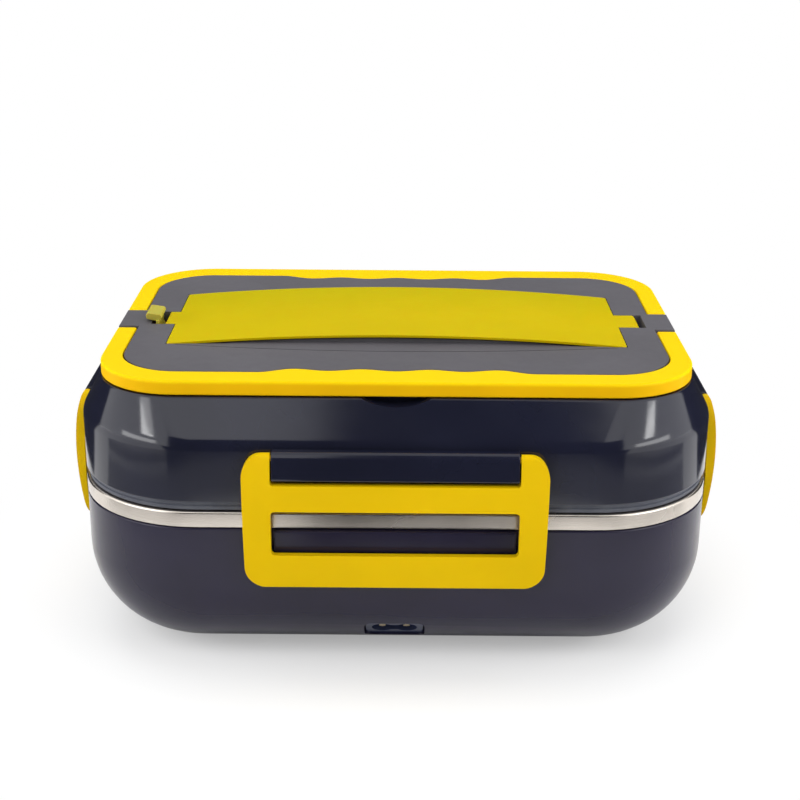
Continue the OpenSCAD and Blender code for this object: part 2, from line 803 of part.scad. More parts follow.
module top_plate() {
    frame_w = 2 * (cover_half + fit_gap + 2);
    frame_d = cover_d + 2 * (fit_gap + 2);
    color("#6e6c74") difference() {
        union() {
            difference() {
                slab(plate_w, plate_d, plate_r, ledge_z, top_z);
                slab(plate_w - 2 * plate_t, plate_d - 2 * plate_t, plate_r - plate_t, ledge_z - cut,
                    top_z - plate_t);
            }
            slab(frame_w, frame_d, tray_r, ledge_z, top_z - plate_t / 2);
            slab(tray_w + 2 * tray_wall, tray_d + 2 * tray_wall, tray_r + tray_wall,
                tray_floor_z - tray_wall, ledge_z + cut);
            for (x = [-1, 1]) bridge(x);
            tab_frame(slot_end + 1.6);
            mirror([1, 0, 0]) tab_frame(-thumb_slot_end + 0.6);
            hump();
            cover_seat();
        }
        slab(tray_w, tray_d, tray_r, tray_floor_z, top_z + 2 * cover_rise);
        cover_pocket();
        tab_slot(cover_half, slot_end);
        tab_slot(thumb_slot_end, -cover_half);
        translate([hinge_x, 0, hinge_z])
            rod_y(hinge_axle_d + 2 * bore_gap, tab_w + 2 * (hinge_axle_l + 0.3));
        for (x = [-1, 1], y = [-1, 1])
            translate([x * arm_in, y * handle_pivot_y, handle_pivot_z])
                rod_x(handle_axle_d + 2 * bore_gap, 2 * (axle_l + 0.3));
        for (y = [-1, 1]) scale([1, y, 1]) wave_relief();
    }
}

// The fixed block between the ends of the two handles
module bridge(side) {
    x_in = plate_w / 2 - plate_t;
    translate([side * (x_in + handle_w / 2) / 2, 0, (ledge_z + top_z) / 2])
        cube([handle_w / 2 - x_in, bridge_l, top_z - ledge_z], center = true);
    // thicker wall that takes the handle's stub axles
    translate([side * (plate_w / 2 - 2.5), 0, (ledge_z + top_z) / 2])
        cube([3.6, 2 * handle_pivot_y + handle_t, top_z - ledge_z - 0.4], center = true);
}

module tab_frame(x_end) {
    translate([cover_half, -tab_slot_w / 2 - 2.4, ledge_z])
        cube([x_end - cover_half, tab_slot_w + 4.8, top_z - ledge_z - 0.5]);
}

module tab_slot(x0, x1) {
    translate([x0 - fit_gap, -tab_slot_w / 2, ledge_z + 0.5])
        cube([x1 - x0 + 2 * fit_gap - (x0 > 0 ? fit_gap : 0), tab_slot_w, top_z]);
}

// The low arched rise that carries the cover, with flanks that slope down to the plate
module hump() {
    slope = atan2(flank_rise, flank_run);
    r = arc_radius(cover_half, flank_rise * cos(slope));
    edge = cover_d / 2 + fit_gap;
    intersection() {
        intersection_for (y = [-1, 1]) translate([0, y * edge, top_z + flank_rise])
            rotate([-y * slope, 0, 0]) translate([0, 0, -r]) rod_y(2 * r, 4 * body_d, $fn = arc_fn);
        translate([-cover_half, hump_margin - plate_d / 2, top_z - plate_t])
            cube([2 * cover_half, plate_d - 2 * hump_margin, plate_t + cover_rise]);
    }
}

// The upright wall under the edge of the cover, which hides it in its shadow
module cover_seat() {
    slab(2 * (cover_half - cover_overhang), cover_d - 2 * cover_overhang, 1,
        top_z - plate_t, top_z + cover_rise);
}

// Everything above the cover's underside, less its running gap
module cover_pocket() {
    under = cover_t + fit_gap;
    difference() {
        slab(2 * (cover_half + fit_gap), cover_d + 2 * fit_gap, 1,
            top_z - under - cut, top_z + 2 * cover_rise);
        arch(under);
    }
}

// The arch of the cover's top, lowered by drop
module arch(drop) {
    r = arc_radius(cover_half, cover_rise);
    translate([0, 0, top_z + cover_rise - r]) rod_y(2 * (r - drop), 2 * body_d, $fn = arc_fn);
}

module wave_outline(gap) {
    reach = 2.1 * wave_pitch;
    steps = 72;
    polygon(concat(
        [for (i = [0:steps]) let (x = -reach + 2 * reach * i / steps) [x, -bar_in + wave(x) + gap]],
        [[reach, -bar_in - 4], [-reach, -bar_in - 4]]));
}

module wave_relief() {
    translate([0, 0, ledge_z - cut]) linear_extrude(top_z - ledge_z + 2 * cut) wave_outline(turn_gap);
}

module inner_lid() {
    rim_inset = lid_wall + fit_gap;
    dome_w = tub_w;
    dome_d = tub_d;
    dome_round = 10;
    color("#a3a4aa") difference() {
        union() {
            mirror([0, 0, 1]) bowl(dome_w, dome_d, tub_r, dome_round, -inner_lid_top, -lid_z);
            slab(body_w - 2 * rim_inset, body_d - 2 * rim_inset, corner_r - rim_inset, lid_z, lid_z + 2.4);
        }
        mirror([0, 0, 1]) bowl(dome_w - 2 * inner_lid_t, dome_d - 2 * inner_lid_t, tub_r - inner_lid_t,
            dome_round - inner_lid_t, -inner_lid_top + inner_lid_t, -lid_z + cut);
        body_ring(seal_rib_in - 0.2, seal_rib_in + seal_rib_w + 0.2, lid_z - cut, lid_z + 1.4);
        at_corners(lid_screw_x, lid_screw_y)
            translate([0, 0, inner_lid_top - 2 * inner_lid_t])
                cylinder(h = 4 * inner_lid_t, d = screw_d + 0.4);
    }
}

module lid_gasket() {
    color("#7d838f") {
        body_ring(1, flange_w - 1, lid_z - gasket_h, lid_z);
        body_ring(seal_rib_in, seal_rib_in + seal_rib_w, lid_z - cut, lid_z + 1.2);
    }
}

module lid_screws() {
    color("silver") at_corners(lid_screw_x, lid_screw_y)
        translate([0, 0, inner_lid_top - inner_lid_t - screw_head_h]) screw_up(inner_lid_t + lid_screw_bite);
}

// ---------- Moving parts of the lid ----------

// The front handle: a bar with finger waves, two arms and a stub axle at each end
module handle() {
    low_z = top_z - handle_t;
    difference() {
        slab(handle_w, handle_d, handle_r, low_z, top_z);
        difference() {
            slab(2 * arm_in, 2 * bar_in, handle_inner_r, low_z - cut, top_z + cut);
            translate([0, 0, low_z - cut]) linear_extrude(handle_t + 2 * cut) wave_outline(0);
        }
        translate([-body_w, -handle_pivot_y, low_z - cut]) cube([2 * body_w, body_d, handle_t + 2 * cut]);
    }
    for (x = [-1, 1]) translate([0, -handle_pivot_y, handle_pivot_z]) {
        translate([x * (arm_in + arm_w / 2), 0, 0]) rod_x(handle_t, arm_w);
        translate([x * (arm_in - axle_l / 2 + cut / 2), 0, 0]) rod_x(handle_axle_d, axle_l + cut);
    }
}

module front_handle() {
    color("#f2c81e") handle();
}

module rear_handle() {
    color("#f2c81e") mirror([0, 1, 0]) handle();
}

module cutlery_cover() {
    color("#d8c41a") {
        intersection() {
            difference() {
                arch(0);
                arch(cover_t);
            }
            slab(2 * cover_half, cover_d, 1, top_z - 2 * cover_t, top_z + 2 * cover_rise);
        }
        // hinge tab with its barrel and axles
        translate([cover_half - cut, -tab_w / 2, top_z - cover_t])
            cube([hinge_x - cover_half + cut, tab_w, cover_t]);
        translate([hinge_x, 0, hinge_z]) {
            rod_y(2 * barrel_r, tab_w);
            rod_y(hinge_axle_d, tab_w + 2 * hinge_axle_l);
        }
        // short tab that runs down into the root of the spring
        spring_in = spring_x + spring_r;
        translate([spring_in, -tab_w / 2, top_z - cover_t])
            cube([-cover_half + cut - spring_in, tab_w, cover_t]);
        translate([spring_in, -thumb_w / 2, spring_z])
            cube([spring_t, thumb_w, top_z - spring_z - cover_t / 2]);
        spring_bend(0);
    }
}

// A quarter of the spring's bend: side 0 is on the cover, side 1 on the finger latch
module spring_bend(side) {
    along_y(thumb_w) intersection() {
        translate([spring_x, spring_z]) difference() {
            circle(spring_r + spring_t);
            circle(spring_r);
        }
        translate([side == 0 ? spring_x : spring_x - 5.1, spring_z - 5]) square(5);
    }
}

module cover_latch() {
    leg_x = spring_x - spring_r - spring_t;
    head_low = top_z + 0.5;
    color("#d6cf4a") {
        spring_bend(1);
        translate([leg_x, -thumb_w / 2, spring_z]) cube([spring_t, thumb_w, head_low - spring_z + cut / 2]);
        along_y(thumb_head_w)
            polygon([[leg_x + spring_t, head_low], [leg_x + spring_t + 1.1, head_low + 1.2],
                [leg_x + spring_t + 0.8, head_low + 2.4], [leg_x - 2.9, head_low + 3],
                [leg_x - 3.9, head_low + 2], [leg_x - 3.7, head_low + 0.6], [leg_x - 1, head_low]]);
    }
}

// A latch as drawn at the front wall, swinging on two pins in the bracket
module latch(width, leg) {
    inner = width / 2 - leg;
    intersection() {
        along_front(-2 * bracket_out, cut) latch_outline(width, inner);
        across(width + 2) latch_profile();
    }
    for (x = [-1, 1]) translate([x * (inner - latch_pin_l / 2 + cut / 2), -pivot_out, pivot_z])
        rod_x(latch_pin_d, latch_pin_l + cut);
}

// The frame seen from the front: two legs, two bars and the window
module latch_outline(width, inner) {
    top_c = [width / 2 - latch_r, latch_top - latch_r];
    low_c = [width / 2 - latch_taper / 2 - latch_r, latch_bottom + latch_r];
    side = (top_c - low_c) / norm(top_c - low_c);
    out = latch_r * [side.y, -side.x];
    difference() {
        union() {
            half = [[top_c.x, latch_top], top_c + out, low_c + out, [low_c.x, latch_bottom]];
            polygon(concat(half, [for (p = reversed(half)) [-p.x, p.y]]));
            for (x = [-1, 1]) {
                translate([x * top_c.x, top_c.y]) circle(latch_r);
                translate([x * low_c.x, low_c.y]) circle(latch_r);
            }
        }
        translate([0, latch_gap_z + window_h / 2]) plan(2 * inner, window_h, 1.5);
        translate([-inner, notch_floor]) square([2 * inner, latch_h]);
    }
}

// The frame seen from the side: bowed out in the middle, round at its top and lower edge
module latch_profile() {
    tip_z = latch_bottom + latch_tip_r;
    outer = bow([-pivot_out - knuckle_r, pivot_z], [-pivot_out - bow_out, pivot_z - 0.21 * latch_h],
        [-pivot_out - bow_out - 0.9, tip_z + 0.4 * latch_h], [-latch_tip_out - latch_tip_r, tip_z]);
    inner = bow([-pivot_out + knuckle_r, pivot_z], [-pivot_out - bow_in, pivot_z - 0.13 * latch_h],
        [-pivot_out - bow_in - 1.6, tip_z + 0.36 * latch_h], [-latch_tip_out + latch_tip_r, tip_z]);
    polygon(concat(outer, reversed(inner)));
    translate([-pivot_out, pivot_z]) circle(knuckle_r);
    translate([-latch_tip_out, tip_z]) circle(latch_tip_r);
}

module front_latch() {
    color("#e2c008") at_wall(0) latch(latch_w, leg_w);
}

module right_latch() {
    color("#e2c008") at_wall(1) latch(side_latch_w, side_leg_w);
}

module rear_latch() {
    color("#e2c008") at_wall(2) latch(latch_w, leg_w);
}

module left_latch() {
    color("#e2c008") at_wall(3) latch(side_latch_w, side_leg_w);
}

outer_case();
bottom_cover();
rubber_feet();
bottom_screws();
inner_liner();
heater_plate();
ptc_heater();
heater_bracket();
heater_screws();
thermostat();
thermal_fuse();
insulation_sheet();
power_inlet();
inlet_pins();
power_leads();
steel_container();
lid_shell();
top_plate();
inner_lid();
lid_gasket();
lid_screws();
front_handle();
rear_handle();
cutlery_cover();
cover_latch();
front_latch();
right_latch();
rear_latch();
left_latch();
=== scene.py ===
"""The looks of an electric lunch box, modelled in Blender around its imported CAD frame.

Sizes are millimetres in the frame's own axes: +X to the right, +Z up, front at -Y. Only the camera,
the lamps and the floor are in metres.
"""

from __future__ import annotations

import json
import logging
import math
from contextlib import contextmanager
from dataclasses import astuple, dataclass, field
from enum import Enum
from typing import Any, Callable, Iterator, Sequence

import bmesh
import bpy
from mathutils import Matrix, Vector

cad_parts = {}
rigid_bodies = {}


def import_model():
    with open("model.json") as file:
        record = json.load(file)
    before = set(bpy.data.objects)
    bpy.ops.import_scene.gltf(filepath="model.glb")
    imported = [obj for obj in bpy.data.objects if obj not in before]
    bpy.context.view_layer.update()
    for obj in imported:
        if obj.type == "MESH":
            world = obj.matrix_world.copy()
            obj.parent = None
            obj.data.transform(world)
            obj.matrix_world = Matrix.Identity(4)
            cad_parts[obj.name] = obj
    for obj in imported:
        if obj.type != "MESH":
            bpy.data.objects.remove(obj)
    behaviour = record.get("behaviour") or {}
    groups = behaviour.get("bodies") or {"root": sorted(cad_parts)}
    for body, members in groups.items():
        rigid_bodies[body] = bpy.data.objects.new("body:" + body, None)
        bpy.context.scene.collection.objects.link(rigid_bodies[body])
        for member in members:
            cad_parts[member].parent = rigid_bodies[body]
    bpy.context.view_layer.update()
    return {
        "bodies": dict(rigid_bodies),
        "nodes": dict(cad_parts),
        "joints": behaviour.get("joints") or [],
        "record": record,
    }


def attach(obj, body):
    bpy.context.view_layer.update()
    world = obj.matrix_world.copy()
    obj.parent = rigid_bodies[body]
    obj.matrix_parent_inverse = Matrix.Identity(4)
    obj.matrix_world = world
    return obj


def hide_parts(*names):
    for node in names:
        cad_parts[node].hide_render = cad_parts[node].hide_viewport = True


LOG = logging.getLogger("lunch_box")
MM = 0.001
NEAR = 0.01
QUARTER = math.pi / 2
WHITE = (1, 1, 1)
Piece = bpy.types.Object
Point = tuple[float, float]
Triple = tuple[float, float, float]


# ---------- Modelling ----------


def arc(centre: Point, radius: float, start: float, end: float, steps: int) -> list[Point]:
    """Returns points on an arc between two angles, both ends among them."""
    turns = [start + (end - start) * i / steps for i in range(steps + 1)]
    return [(centre[0] + radius * math.cos(a), centre[1] + radius * math.sin(a)) for a in turns]


@dataclass(frozen=True)
class Ring:
    """A rounded rectangle seen from above.

    Args:
        width: size along X.
        depth: size along Y.
        corner: corner radius.
        height: its level above the table.
    """

    width: float
    depth: float
    corner: float
    height: float = 0

    def moved(self, inset: float, height: float) -> Ring:
        """Returns this ring drawn in by inset, at another height."""
        return Ring(self.width - 2 * inset, self.depth - 2 * inset, self.corner - inset, height)

    def towards(self, other: Ring, share: float) -> Ring:
        """Returns the ring that lies a share of the way from this one to another."""
        return Ring(*(a + (b - a) * share for a, b in zip(astuple(self), astuple(other))))

    def outline(self, segments: int) -> list[Point]:
        """Draws the ring, one corner after the other.

        Args:
            segments: how many edges each corner has.
        Returns:
            Its points in X and Y.
        """
        turns = [QUARTER * (q + i / segments) for q in range(4) for i in range(segments + 1)]
        middles = [(x, y) for x, y in ((1, 1), (-1, 1), (-1, -1), (1, -1)) for _ in range(segments + 1)]
        return [(x * (self.width / 2 - self.corner) + self.corner * math.cos(a),
                 y * (self.depth / 2 - self.corner) + self.corner * math.sin(a))
                for (x, y), a in zip(middles, turns)]


class Axis(Enum):
    """The direction that a profile is extruded in, or that a rod or an edge lies along."""

    X = 0
    Y = 1
    Z = 2

    @property
    def turn(self) -> Triple:
        """Returns what turns an upright rod to lie along this axis."""
        return {Axis.X: (0, QUARTER, 0), Axis.Y: (QUARTER, 0, 0), Axis.Z: (0, 0, 0)}[self]

    def place(self, u: float, v: float, along: float) -> Triple:
        """Returns the point at u across and v up a drawing, at a distance along this axis."""
        return {Axis.X: (along, u, v), Axis.Y: (u, along, v), Axis.Z: (u, v, along)}[self]

    def holds(self, a: Vector, b: Vector) -> bool:
        """Says whether the edge between two points lies along this axis."""
        return all(abs(a[i] - b[i]) < NEAR for i in range(3) if i != self.value)


class Workbench:
    """Blender's modelling operators, with sizes in millimetres."""

    def clear(self) -> None:
        """Leaves edit mode and deselects everything."""
        if bpy.context.mode != "OBJECT":
            bpy.ops.object.mode_set(mode="OBJECT")
        bpy.ops.object.select_all(action="DESELECT")

    def take(self, piece: Piece) -> None:
        """Selects one piece alone and makes it the active one.

        Args:
            piece: the piece.
        """
        self.clear()
        piece.select_set(True)
        bpy.context.view_layer.objects.active = piece

    @contextmanager
    def editing(self, piece: Piece) -> Iterator[None]:
        """Opens a piece in edit mode with all of it selected, and closes it at the end.

        Args:
            piece: the piece.
        Returns:
            What a with statement needs.
        """
        self.take(piece)
        bpy.ops.object.mode_set(mode="EDIT")
        bpy.ops.mesh.select_all(action="SELECT")
        yield
        bpy.ops.object.mode_set(mode="OBJECT")

    def apply(self, piece: Piece) -> Piece:
        """Puts a piece's place, turn and size into its mesh.

        Args:
            piece: the piece.
        Returns:
            The piece.
        """
        self.take(piece)
        bpy.ops.object.transform_apply(location=True, rotation=True, scale=True)
        return piece

    def settle(self, name: str) -> Piece:
        """Names the new object and puts its place and size into its mesh.

        Args:
            name: the piece's name.
        Returns:
            The piece.
        """
        piece = bpy.context.object
        piece.name = piece.data.name = name
        return self.apply(piece)

    def box(self, name: str, low: Sequence[float], high: Sequence[float]) -> Piece:
        """Adds a block between two corners.

        Args:
            name: the piece's name.
            low: its lowest corner.
            high: its highest corner.
        Returns:
            The block.
        """
        self.clear()
        middle = [(a + b) / 2 * MM for a, b in zip(low, high)]
        bpy.ops.mesh.primitive_cube_add(size=1, location=middle)
        bpy.context.object.scale = [(b - a) * MM for a, b in zip(low, high)]
        return self.settle(name)

    def rod(self, name: str, axis: Axis, middle: Sequence[float], radius: float, length: float,
            sides: int = 40) -> Piece:
        """Adds a round rod.

        Args:
            name: the piece's name.
            axis: the axis that the rod lies along.
            middle: its middle point.
            radius: its radius.
            length: its length.
            sides: how many flats it has.
        Returns:
            The rod.
        """
        self.clear()
        bpy.ops.mesh.primitive_cylinder_add(
            vertices=sides, radius=radius * MM, depth=length * MM, rotation=axis.turn,
            location=[c * MM for c in middle])
        return self.settle(name)

    def disc(self, name: str, points: int, fill: str = "NGON") -> Piece:
        """Adds a flat circle for a loft or a prism to start from.

        Args:
            name: the piece's name.
            points: how many points it has.
            fill: what fills it.
        Returns:
            The circle.
        """
        self.clear()
        bpy.ops.mesh.primitive_circle_add(vertices=points, radius=1, fill_type=fill)
        return self.settle(name)

    def move_points(self, piece: Piece, points: Sequence[Sequence[float]]) -> None:
        """Moves the selected points of the mesh that is being edited.

        Args:
            piece: the piece that is being edited.
            points: their new places, in their order.
        """
        mesh = bmesh.from_edit_mesh(piece.data)
        for vertex, point in zip([v for v in mesh.verts if v.select], points):
            vertex.co = Vector(point) * MM
        bmesh.update_edit_mesh(piece.data)

    def loft(self, name: str, rings: Sequence[Ring], segments: int = 16, closed: bool = False) -> Piece:
        """Extrudes a rounded rectangle step by step and shapes each step to the next ring.

        Args:
            name: the piece's name.
            rings: the rounded rectangles, in order along the skin.
            segments: how many edges each corner has.
            closed: whether the last ring joins the first, in place of a face at each end.
        Returns:
            The piece.
        """
        piece = self.disc(name, 4 * (segments + 1), "NOTHING" if closed else "NGON")
        with self.editing(piece):
            for i, ring in enumerate([*rings, rings[0]] if closed else rings):
                if i:
                    bpy.ops.mesh.extrude_region_move()
                self.move_points(piece, [(x, y, ring.height) for x, y in ring.outline(segments)])
        return self.tidy(piece)

    def prism(self, name: str, outline: Sequence[Point], axis: Axis, start: float, end: float) -> Piece:
        """Shapes a round face to an outline and extrudes it.

        Args:
            name: the piece's name.
            outline: the points of the outline, in order.
            axis: the axis that it is extruded along.
            start: where the extrusion starts on that axis.
            end: where it ends.
        Returns:
            The piece.
        """
        piece = self.disc(name, len(outline))
        step = Vector(axis.place(0, 0, end - start)) * MM
        with self.editing(piece):
            self.move_points(piece, [axis.place(u, v, start) for u, v in outline])
            bpy.ops.mesh.extrude_region_move(TRANSFORM_OT_translate={"value": step})
        return self.tidy(piece)

    def sheet(self, name: str, half: float, reach: float, strips: tuple[int, int], down: float,
              level: Callable[[float, float], float]) -> Piece:
        """Adds a gridded sheet, lifts it to the level that a rule gives and makes it a solid.

        Args:
            name: the piece's name.
            half: how far it reaches from the middle along X.
            reach: how far it reaches along Y.
            strips: how many strips it has along X and along Y.
            down: how far below the sheet the solid's other face lies, or above it where negative.
            level: gives the height of the sheet at a point.
        Returns:
            The solid.
        """
        self.clear()
        bpy.ops.mesh.primitive_grid_add(x_subdivisions=strips[0], y_subdivisions=strips[1], size=1)
        bpy.context.object.scale = (2 * half * MM, 2 * reach * MM, 1)
        piece = self.settle(name)
        for vertex in piece.data.vertices:
            vertex.co.z = level(vertex.co.x / MM, vertex.co.y / MM) * MM
        with self.editing(piece):
            bpy.ops.mesh.extrude_region_move(TRANSFORM_OT_translate={"value": (0, 0, -down * MM)})
        return self.tidy(piece)

    def tidy(self, piece: Piece) -> Piece:
        """Merges doubled points and turns every face outwards.

        Args:
            piece: the piece.
        Returns:
            The piece.
        """
        with self.editing(piece):
            bpy.ops.mesh.remove_doubles(threshold=1e-6)
            bpy.ops.mesh.normals_make_consistent(inside=False)
            bpy.ops.mesh.select_all(action="DESELECT")
        return piece

    def turn(self, piece: Piece, angles: Sequence[float], move: Sequence[float] = (0, 0, 0)) -> Piece:
        """Turns a piece about the origin, moves it and applies its new place.

        Args:
            piece: the piece.
            angles: degrees about X, Y and Z.
            move: millimetres along X, Y and Z.
        Returns:
            The piece.
        """
        piece.rotation_euler = [math.radians(a) for a in angles]
        piece.location = [c * MM for c in move]
        return self.apply(piece)

    def modify(self, piece: Piece, kind: str, settings: dict[str, Any]) -> Piece:
        """Adds a modifier and applies it.

        Args:
            piece: the piece.
            kind: the modifier's type.
            settings: its settings, by their names.
        Returns:
            The piece.
        """
        self.take(piece)
        modifier = piece.modifiers.new(kind.lower(), kind)
        for key, value in settings.items():
            setattr(modifier, key, value)
        bpy.ops.object.modifier_apply(modifier=modifier.name)
        return piece

    def combine(self, piece: Piece, operation: str, tools: Sequence[Piece]) -> Piece:
        """Works other solids into a piece and uses them up.

        Args:
            piece: the piece that stays.
            operation: what the Boolean modifier does.
            tools: the other solids.
        Returns:
            The piece.
        """
        for tool in tools:
            self.modify(piece, "BOOLEAN", {"operation": operation, "object": tool, "solver": "EXACT"})
            bpy.data.objects.remove(tool)
        return self.tidy(piece)

    def join(self, piece: Piece, *tools: Piece) -> Piece:
        """Joins other solids to a piece."""
        return self.combine(piece, "UNION", tools)

    def cut(self, piece: Piece, *tools: Piece) -> Piece:
        """Cuts other solids from a piece."""
        return self.combine(piece, "DIFFERENCE", tools)

    def trim(self, piece: Piece, *tools: Piece) -> Piece:
        """Keeps only what lies inside other solids."""
        return self.combine(piece, "INTERSECT", tools)

    def soften(self, piece: Piece, width: float, segments: int = 3, angle: float = 35) -> Piece:
        """Rounds every edge that is sharper than an angle.

        Args:
            piece: the piece.
            width: how far the rounding reaches from the edge.
            segments: how many faces cross it.
            angle: the sharpest angle, in degrees, that stays as it is.
        Returns:
            The piece.
        """
        return self.modify(piece, "BEVEL", {
            "width": width * MM, "segments": segments, "limit_method": "ANGLE",
            "angle_limit": math.radians(angle), "use_clamp_overlap": True, "miter_outer": "MITER_ARC"})

    def round_edges(self, piece: Piece, test: Callable[[Vector, Vector], bool], width: float,
                    segments: int) -> Piece:
        """Bevels the edges whose two ends, in millimetres, pass a test.

        Args:
            piece: the piece.
            test: says whether an edge between two points is rounded.
            width: how far the rounding reaches from the edge.
            segments: how many faces cross it.
        Returns:
            The piece.
        """
        with self.editing(piece):
            bpy.ops.mesh.select_mode(type="EDGE")
            bpy.ops.mesh.select_all(action="DESELECT")
            mesh = bmesh.from_edit_mesh(piece.data)
            for edge in mesh.edges:
                if test(edge.verts[0].co / MM, edge.verts[1].co / MM):
                    edge.select_set(True)
            bmesh.update_edit_mesh(piece.data)
            bpy.ops.mesh.bevel(offset=width * MM, segments=segments, affect="EDGES", clamp_overlap=True)
            bpy.ops.mesh.select_mode(type="VERT")
        return self.tidy(piece)

    def polish(self, piece: Piece, angle: float = 32) -> Piece:
        """Shades a finished piece smooth, with its flat faces kept flat.

        Args:
            piece: the piece.
            angle: edges sharper than this, in degrees, stay crisp.
        Returns:
            The piece.
        """
        self.tidy(piece)
        bpy.ops.object.shade_smooth_by_angle(angle=math.radians(angle))
        return self.modify(piece, "WEIGHTED_NORMAL", {"mode": "FACE_AREA", "weight": 50, "keep_sharp": True})


# ---------- Materials ----------


class Value:
    """A number or colour on its way through a material, with the sums that it can take part in."""

    def __init__(self, graph: Graph, socket: bpy.types.NodeSocket | None) -> None:
        """Keeps the output socket that gives the value, and the graph that it belongs to."""
        self.graph, self.socket = graph, socket

    def work(self, operation: str, first: Any, second: Any) -> Value:
        """Returns the result of one Math node."""
        return self.graph.node("ShaderNodeMath", {"operation": operation}, {0: first, 1: second})

    def __add__(self, other: Any) -> Value:
        """Returns self + other."""
        return self.work("ADD", self, other)

    def __mul__(self, other: Any) -> Value:
        """Returns self * other."""
        return self.work("MULTIPLY", self, other)

    def __pow__(self, other: Any) -> Value:
        """Returns self to the power of other."""
        return self.work("POWER", self, other)

    def __radd__(self, other: Any) -> Value:
        """Returns other + self."""
        return self.work("ADD", other, self)

    def __rmul__(self, other: Any) -> Value:
        """Returns other * self."""
        return self.work("MULTIPLY", other, self)


class Graph:
    """The node tree of one material or world."""

    def __init__(self, tree: bpy.types.NodeTree) -> None:
        """Takes a node tree and empties it."""
        self.tree = tree
        tree.nodes.clear()

    def node(self, kind: str, settings: dict[str, Any] | None = None,
             inputs: dict[Any, Any] | None = None, output: Any = 0) -> Value:
        """Adds a node of any type.

        Args:
            kind: the node's type.
            settings: its own properties, which are set first.
            inputs: what its sockets hold or are linked to, by name or number.
            output: the name or number of the socket that is given back.
        Returns:
            The chosen output.
        """
        node = self.tree.nodes.new(kind)
        for key, value in (settings or {}).items():
            setattr(node, key, value)
        for key, value in (inputs or {}).items():
            socket = node.inputs[key]
            if isinstance(value, Value):
                self.tree.links.new(value.socket, socket)
            elif isinstance(value, tuple) and socket.type == "RGBA":
                socket.default_value = (*value, 1)
            else:
                socket.default_value = value
        return Value(self, node.outputs[output] if len(node.outputs) else None)

    def place(self, scale: Triple = (1, 1, 1)) -> Value:
        """Returns the piece's own coordinates, stretched."""
        where = self.node("ShaderNodeTexCoord", output="Object")
        return self.node("ShaderNodeMapping", {}, {"Vector": where, "Scale": scale})

    def xyz(self) -> list[Value]:
        """Returns the piece's own X, Y and Z."""
        split = self.node("ShaderNodeSeparateXYZ", {}, {0: self.place()}).socket.node
        return [Value(self, output) for output in split.outputs]

    def noise(self, where: Value, scale: float, detail: float = 2, roughness: float = 0.5) -> Value:
        """Returns a noise between 0 and 1."""
        return self.node("ShaderNodeTexNoise", {}, {
            "Vector": where, "Scale": scale, "Detail": detail, "Roughness": roughness})

    def step(self, value: Any, low: float, high: float, to_low: float = 0, to_high: float = 1) -> Value:
        """Returns a value moved smoothly from one range to another, and kept inside it."""
        return self.node("ShaderNodeMapRange", {"interpolation_type": "SMOOTHSTEP"}, {
            "Value": value, "From Min": low, "From Max": high, "To Min": to_low, "To Max": to_high})

    def blend(self, share: Any, first: Any, second: Any) -> Value:
        """Returns a colour between two."""
        return self.node("ShaderNodeMix", {"data_type": "RGBA"}, {0: share, 6: first, 7: second}, output=2)

    def bump(self, height: Value, strength: float, depth: float, normal: Value | None = None) -> Value:
        """Returns a normal that follows a height, with its depth in millimetres, on top of another."""
        under = {} if normal is None else {"Normal": normal}
        return self.node("ShaderNodeBump", {}, {
            "Height": height, "Strength": strength, "Distance": depth * MM, **under})

    def edges(self, radius: float) -> Value | None:
        """Returns a normal that makes sharp edges look rounded, or none where the radius is 0."""
        return self.node("ShaderNodeBevel", {"samples": 4}, {"Radius": radius * MM}) if radius else None

    def end(self, kind: str, inputs: dict[Any, Any], output: str = "Material") -> None:
        """Ends the graph in one shader."""
        self.node(f"ShaderNodeOutput{output}", {}, {"Surface": self.node(kind, {}, inputs)})


def new_material(name: str) -> tuple[bpy.types.Material, Graph]:
    """Adds an empty material.

    Args:
        name: its name.
    Returns:
        The material and its graph.
    """
    material = bpy.data.materials.new(name)
    material.use_nodes = True
    return material, Graph(material.node_tree)


@dataclass(frozen=True)
class Finish:
    """What every finish has.

    Args:
        name: the material's name, as in the record.
        colour: its colour, linear.
        roughness: how matte it is.
        edge: radius that sharp edges look rounded by.
    """

    name: str
    colour: Triple
    roughness: float
    edge: float = 0

    def inputs(self, graph: Graph) -> dict[str, Any]:
        """Returns what the shader is given, which each kind of finish works out."""
        raise NotImplementedError

    def shaded(self, share: float) -> Triple:
        """Returns the colour made darker or lighter, each part of it 1 at most."""
        return tuple(min(1, c * share) for c in self.colour)

    def make(self) -> bpy.types.Material:
        """Makes the finish.

        Returns:
            The material.
        """
        material, graph = new_material(self.name)
        graph.end("ShaderNodeBsdfPrincipled", self.inputs(graph))
        return material


